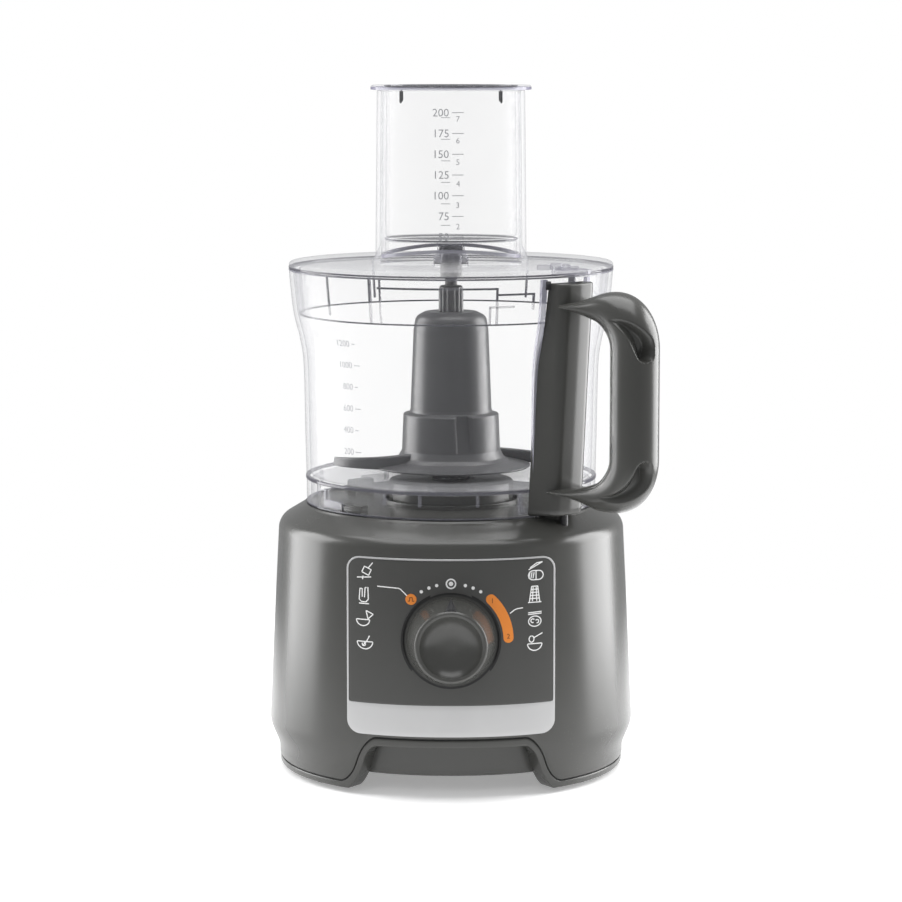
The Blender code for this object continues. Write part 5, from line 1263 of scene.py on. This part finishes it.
# ---- shaft and tool -----------------------------------------------------------------------------
def drive_shaft(mats):
    """Shaft with fine flutes between the tool and the lid, and a plain tip."""
    turn = turns(168)
    rows = []
    for r, z, deep in ((9.2, 157.5, 0.0), (9.9, 158.2, 0.0), (9.9, 200.8, 0.0), (11.6, 200.9, 0.0),
                       (12.0, 201.3, 0.0), (12.0, 203.0, 0.0), (6.5, 204.2, 0.0), (6.5, 246.0, 0.0),
                       (6.35, 247.6, 0.35), (6.35, 259.8, 0.35), (6.3, 260.4, 0.1), (6.3, 261.3, 0.0),
                       (5.6, 262.0, 0.0), (3.5, 262.3, 0.0), (3.25, 262.8, 0.0), (3.25, 280.4, 0.0),
                       (2.5, 281.4, 0.0), (0.0, 281.5, 0.0)):
        radius = r + deep * np.cos(SHAFT_FLUTES * turn)
        rows.append(level(radius * np.cos(turn), radius * np.sin(turn), z))
    rows += list(turned([(0.0, 177.0), (5.4, 177.0), (5.4, 157.5)], 168))
    piece("drive_shaft_body", Grid(np.array(rows), rows=True), mats["tool_plastic"], "shaft",
          ["drive_shaft"], sharp=40)


def dough_tool(mats):
    """Tool hub as a bell over the shaft, a collar with a notch and a low sweeping foot with two paddles."""
    outline = filleted([(13.5, 163.3, 0), (33.0, 163.3, 0.6), (33.2, 165.6, 1.0), (29.0, 168.5, 4.0),
                        (26.8, 172.5, 2.0), (26.0, 192.2, 0.9), (22.6, 193.2, 0.7), (22.1, 195.0, 1.0),
                        (20.4, 238.0, 8.0), (19.2, 245.4, 5.0), (14.0, 248.0, 3.0), (7.0, 248.0, 0.5),
                        (7.0, 206.4, 0), (13.5, 206.4, 0)], steps=8)
    turn = turns(192)
    hub = turned(outline, 192)
    radius, height = np.hypot(hub[..., 0], hub[..., 1]), hub[..., 2]
    notch = np.clip((np.cos(turn + math.radians(75)) - 0.985) / 0.004, 0.0, 1.0)[None, :]
    cut = notch * (radius > 23.2) * np.clip((height - 176.0) / 1.0, 0.0, 1.0)
    shrink = 1 - cut * (radius - 22.9) / np.maximum(radius, 1.0)
    hub[..., 0] *= shrink
    hub[..., 1] *= shrink
    grids = [Grid(hub, rows=True)]
    across = np.linspace(0.0, 1.0, 40)
    section = filleted([(-1.0, 0.0, 0.1), (1.0, 0.0, 0.1), (0.75, 1.0, 0.35), (-0.75, 1.0, 0.35)], True, 5)
    for start in (35.0, 215.0):
        reach = PADDLE_ROOT + (PADDLE_REACH - PADDLE_ROOT) * across
        swing = math.radians(start) - PADDLE_SWEEP * across ** 1.4
        half = PADDLE_HALF * (1.25 - 0.75 * across)
        tall = PADDLE_TALL * (1.15 - 0.55 * across)
        x, y = reach * np.cos(swing), reach * np.sin(swing)
        dx, dy = np.gradient(x), np.gradient(y)
        size = np.hypot(dx, dy)
        nx, ny = -dy / size, dx / size
        points = np.zeros((len(across), len(section), 3))
        points[..., 0] = x[:, None] + nx[:, None] * half[:, None] * section[None, :, 0]
        points[..., 1] = y[:, None] + ny[:, None] * half[:, None] * section[None, :, 0]
        points[..., 2] = PADDLE_Z + tall[:, None] * section[None, :, 1]
        grids.append(Grid(points, ends=True))
    foot = filleted([(30.0, 163.2, 0), (43.0, 163.2, 0.4), (43.4, 164.2, 0.4), (40.0, 165.0, 2.0),
                     (30.0, 167.2, 0)])
    grids.append(Grid(turned(foot, 160), rows=True))
    piece("dough_tool_body", grids, mats["tool_plastic"], "shaft", ["dough_tool"], sharp=45)


# ---- carried-over parts -------------------------------------------------------------------------
def finish_carried_parts(mats):
    """Every CAD part that stays takes the procedural finish of its own slot."""
    slots = {part["node"]: part["material_slot"] for part in frame["record"]["subparts"]}
    for name, node in frame["nodes"].items():
        node.data.materials.clear()
        node.data.materials.append(mats[slots[name]])


def main():
    """Makes every piece from the table up, then the studio."""
    mats = make_materials()
    motor_housing(mats)
    deck_details(mats)
    tray(mats)
    feet(mats)
    control_panel(mats)
    panel_marks(mats)
    knob(mats)
    bowl(mats)
    bowl_scale(mats)
    lid(mats)
    pusher(mats)
    column(mats)
    grip(mats)
    drive_shaft(mats)
    dough_tool(mats)
    finish_carried_parts(mats)
    studio()


def studio():
    """White sweep, soft boxes at both sides and above, and the camera."""
    scene = bpy.context.scene
    scene.view_settings.view_transform = "Standard"
    world = bpy.data.worlds.new("studio")
    scene.world = world
    world.use_nodes = True
    tree = world.node_tree
    background = tree.nodes["Background"]
    seen = tree.nodes.new("ShaderNodeBackground")
    seen.inputs["Color"].default_value = (1, 1, 1, 1)
    background.inputs["Color"].default_value = (0.92, 0.93, 0.95, 1)
    background.inputs["Strength"].default_value = 0.42
    ray = tree.nodes.new("ShaderNodeLightPath")
    mix = tree.nodes.new("ShaderNodeMixShader")
    tree.links.new(ray.outputs["Is Camera Ray"], mix.inputs[0])
    tree.links.new(background.outputs[0], mix.inputs[1])
    tree.links.new(seen.outputs[0], mix.inputs[2])
    tree.links.new(mix.outputs[0], tree.nodes["World Output"].inputs["Surface"])

    floor = bpy.data.meshes.new("table")
    floor.from_pydata([(-4, -4, -0.0002), (4, -4, -0.0002), (4, 4, -0.0002), (-4, 4, -0.0002)], [],
                      [(0, 1, 2, 3)])
    sheet = Sheet("table_white", Roughness=0.6)
    spot = sheet.add("ShaderNodeTexCoord", {}, out="Object")
    away = sheet.add("ShaderNodeVectorMath", {"operation": "LENGTH"}, spot, out="Value")
    sheet.set(Base_Color=sheet.mix(sheet.noise(60.0).between(0.3, 0.7), (0.90, 0.90, 0.90),
                                   (0.93, 0.93, 0.93)),
              Alpha=1.0 - away.between(0.28, 0.60), Emission_Color=(1.0, 1.0, 1.0), Emission_Strength=0.30)
    floor.materials.append(sheet.material)
    table = bpy.data.objects.new("table", floor)
    scene.collection.objects.link(table)

    def soft_box(name, place, aim, width, height, power):
        """Rectangular lamp at a place, turned to its aim."""
        light = bpy.data.lights.new(name, "AREA")
        light.shape = "RECTANGLE"
        light.size, light.size_y, light.energy = width, height, power
        lamp = bpy.data.objects.new(name, light)
        way = Vector(aim) - Vector(place)
        lamp.matrix_world = Matrix.Translation(place) @ way.to_track_quat("-Z", "Y").to_matrix().to_4x4()
        scene.collection.objects.link(lamp)
        return lamp

    soft_box("left_box", (-1.0, 0.35, 0.40), (0, 0, 0.14), 0.8, 1.1, 15.0)
    soft_box("right_box", (1.0, 0.35, 0.40), (0, 0, 0.14), 0.8, 1.1, 19.0)
    soft_box("top_box", (0.0, 0.1, 1.5), (0, 0, 0.1), 1.4, 1.4, 22.0)
    front = soft_box("front_box", (-0.5, -1.6, 1.2), (0, 0, 0.15), 1.0, 0.8, 4.0)
    front.visible_glossy = False

    lens = bpy.data.cameras.new("view")
    lens.sensor_width = 36.0
    lens.lens = FOCAL / FRAME_SIDE * lens.sensor_width
    camera = bpy.data.objects.new("view", lens)
    place = HOME * MM + np.array((0.0, -CAMERA_AWAY, CAMERA_HIGH))
    tilt = Matrix.Rotation(math.pi / 2 - CAMERA_TILT, 4, "X")
    camera.matrix_world = Matrix.Translation(place) @ tilt
    scene.collection.objects.link(camera)
    scene.camera = camera


main()
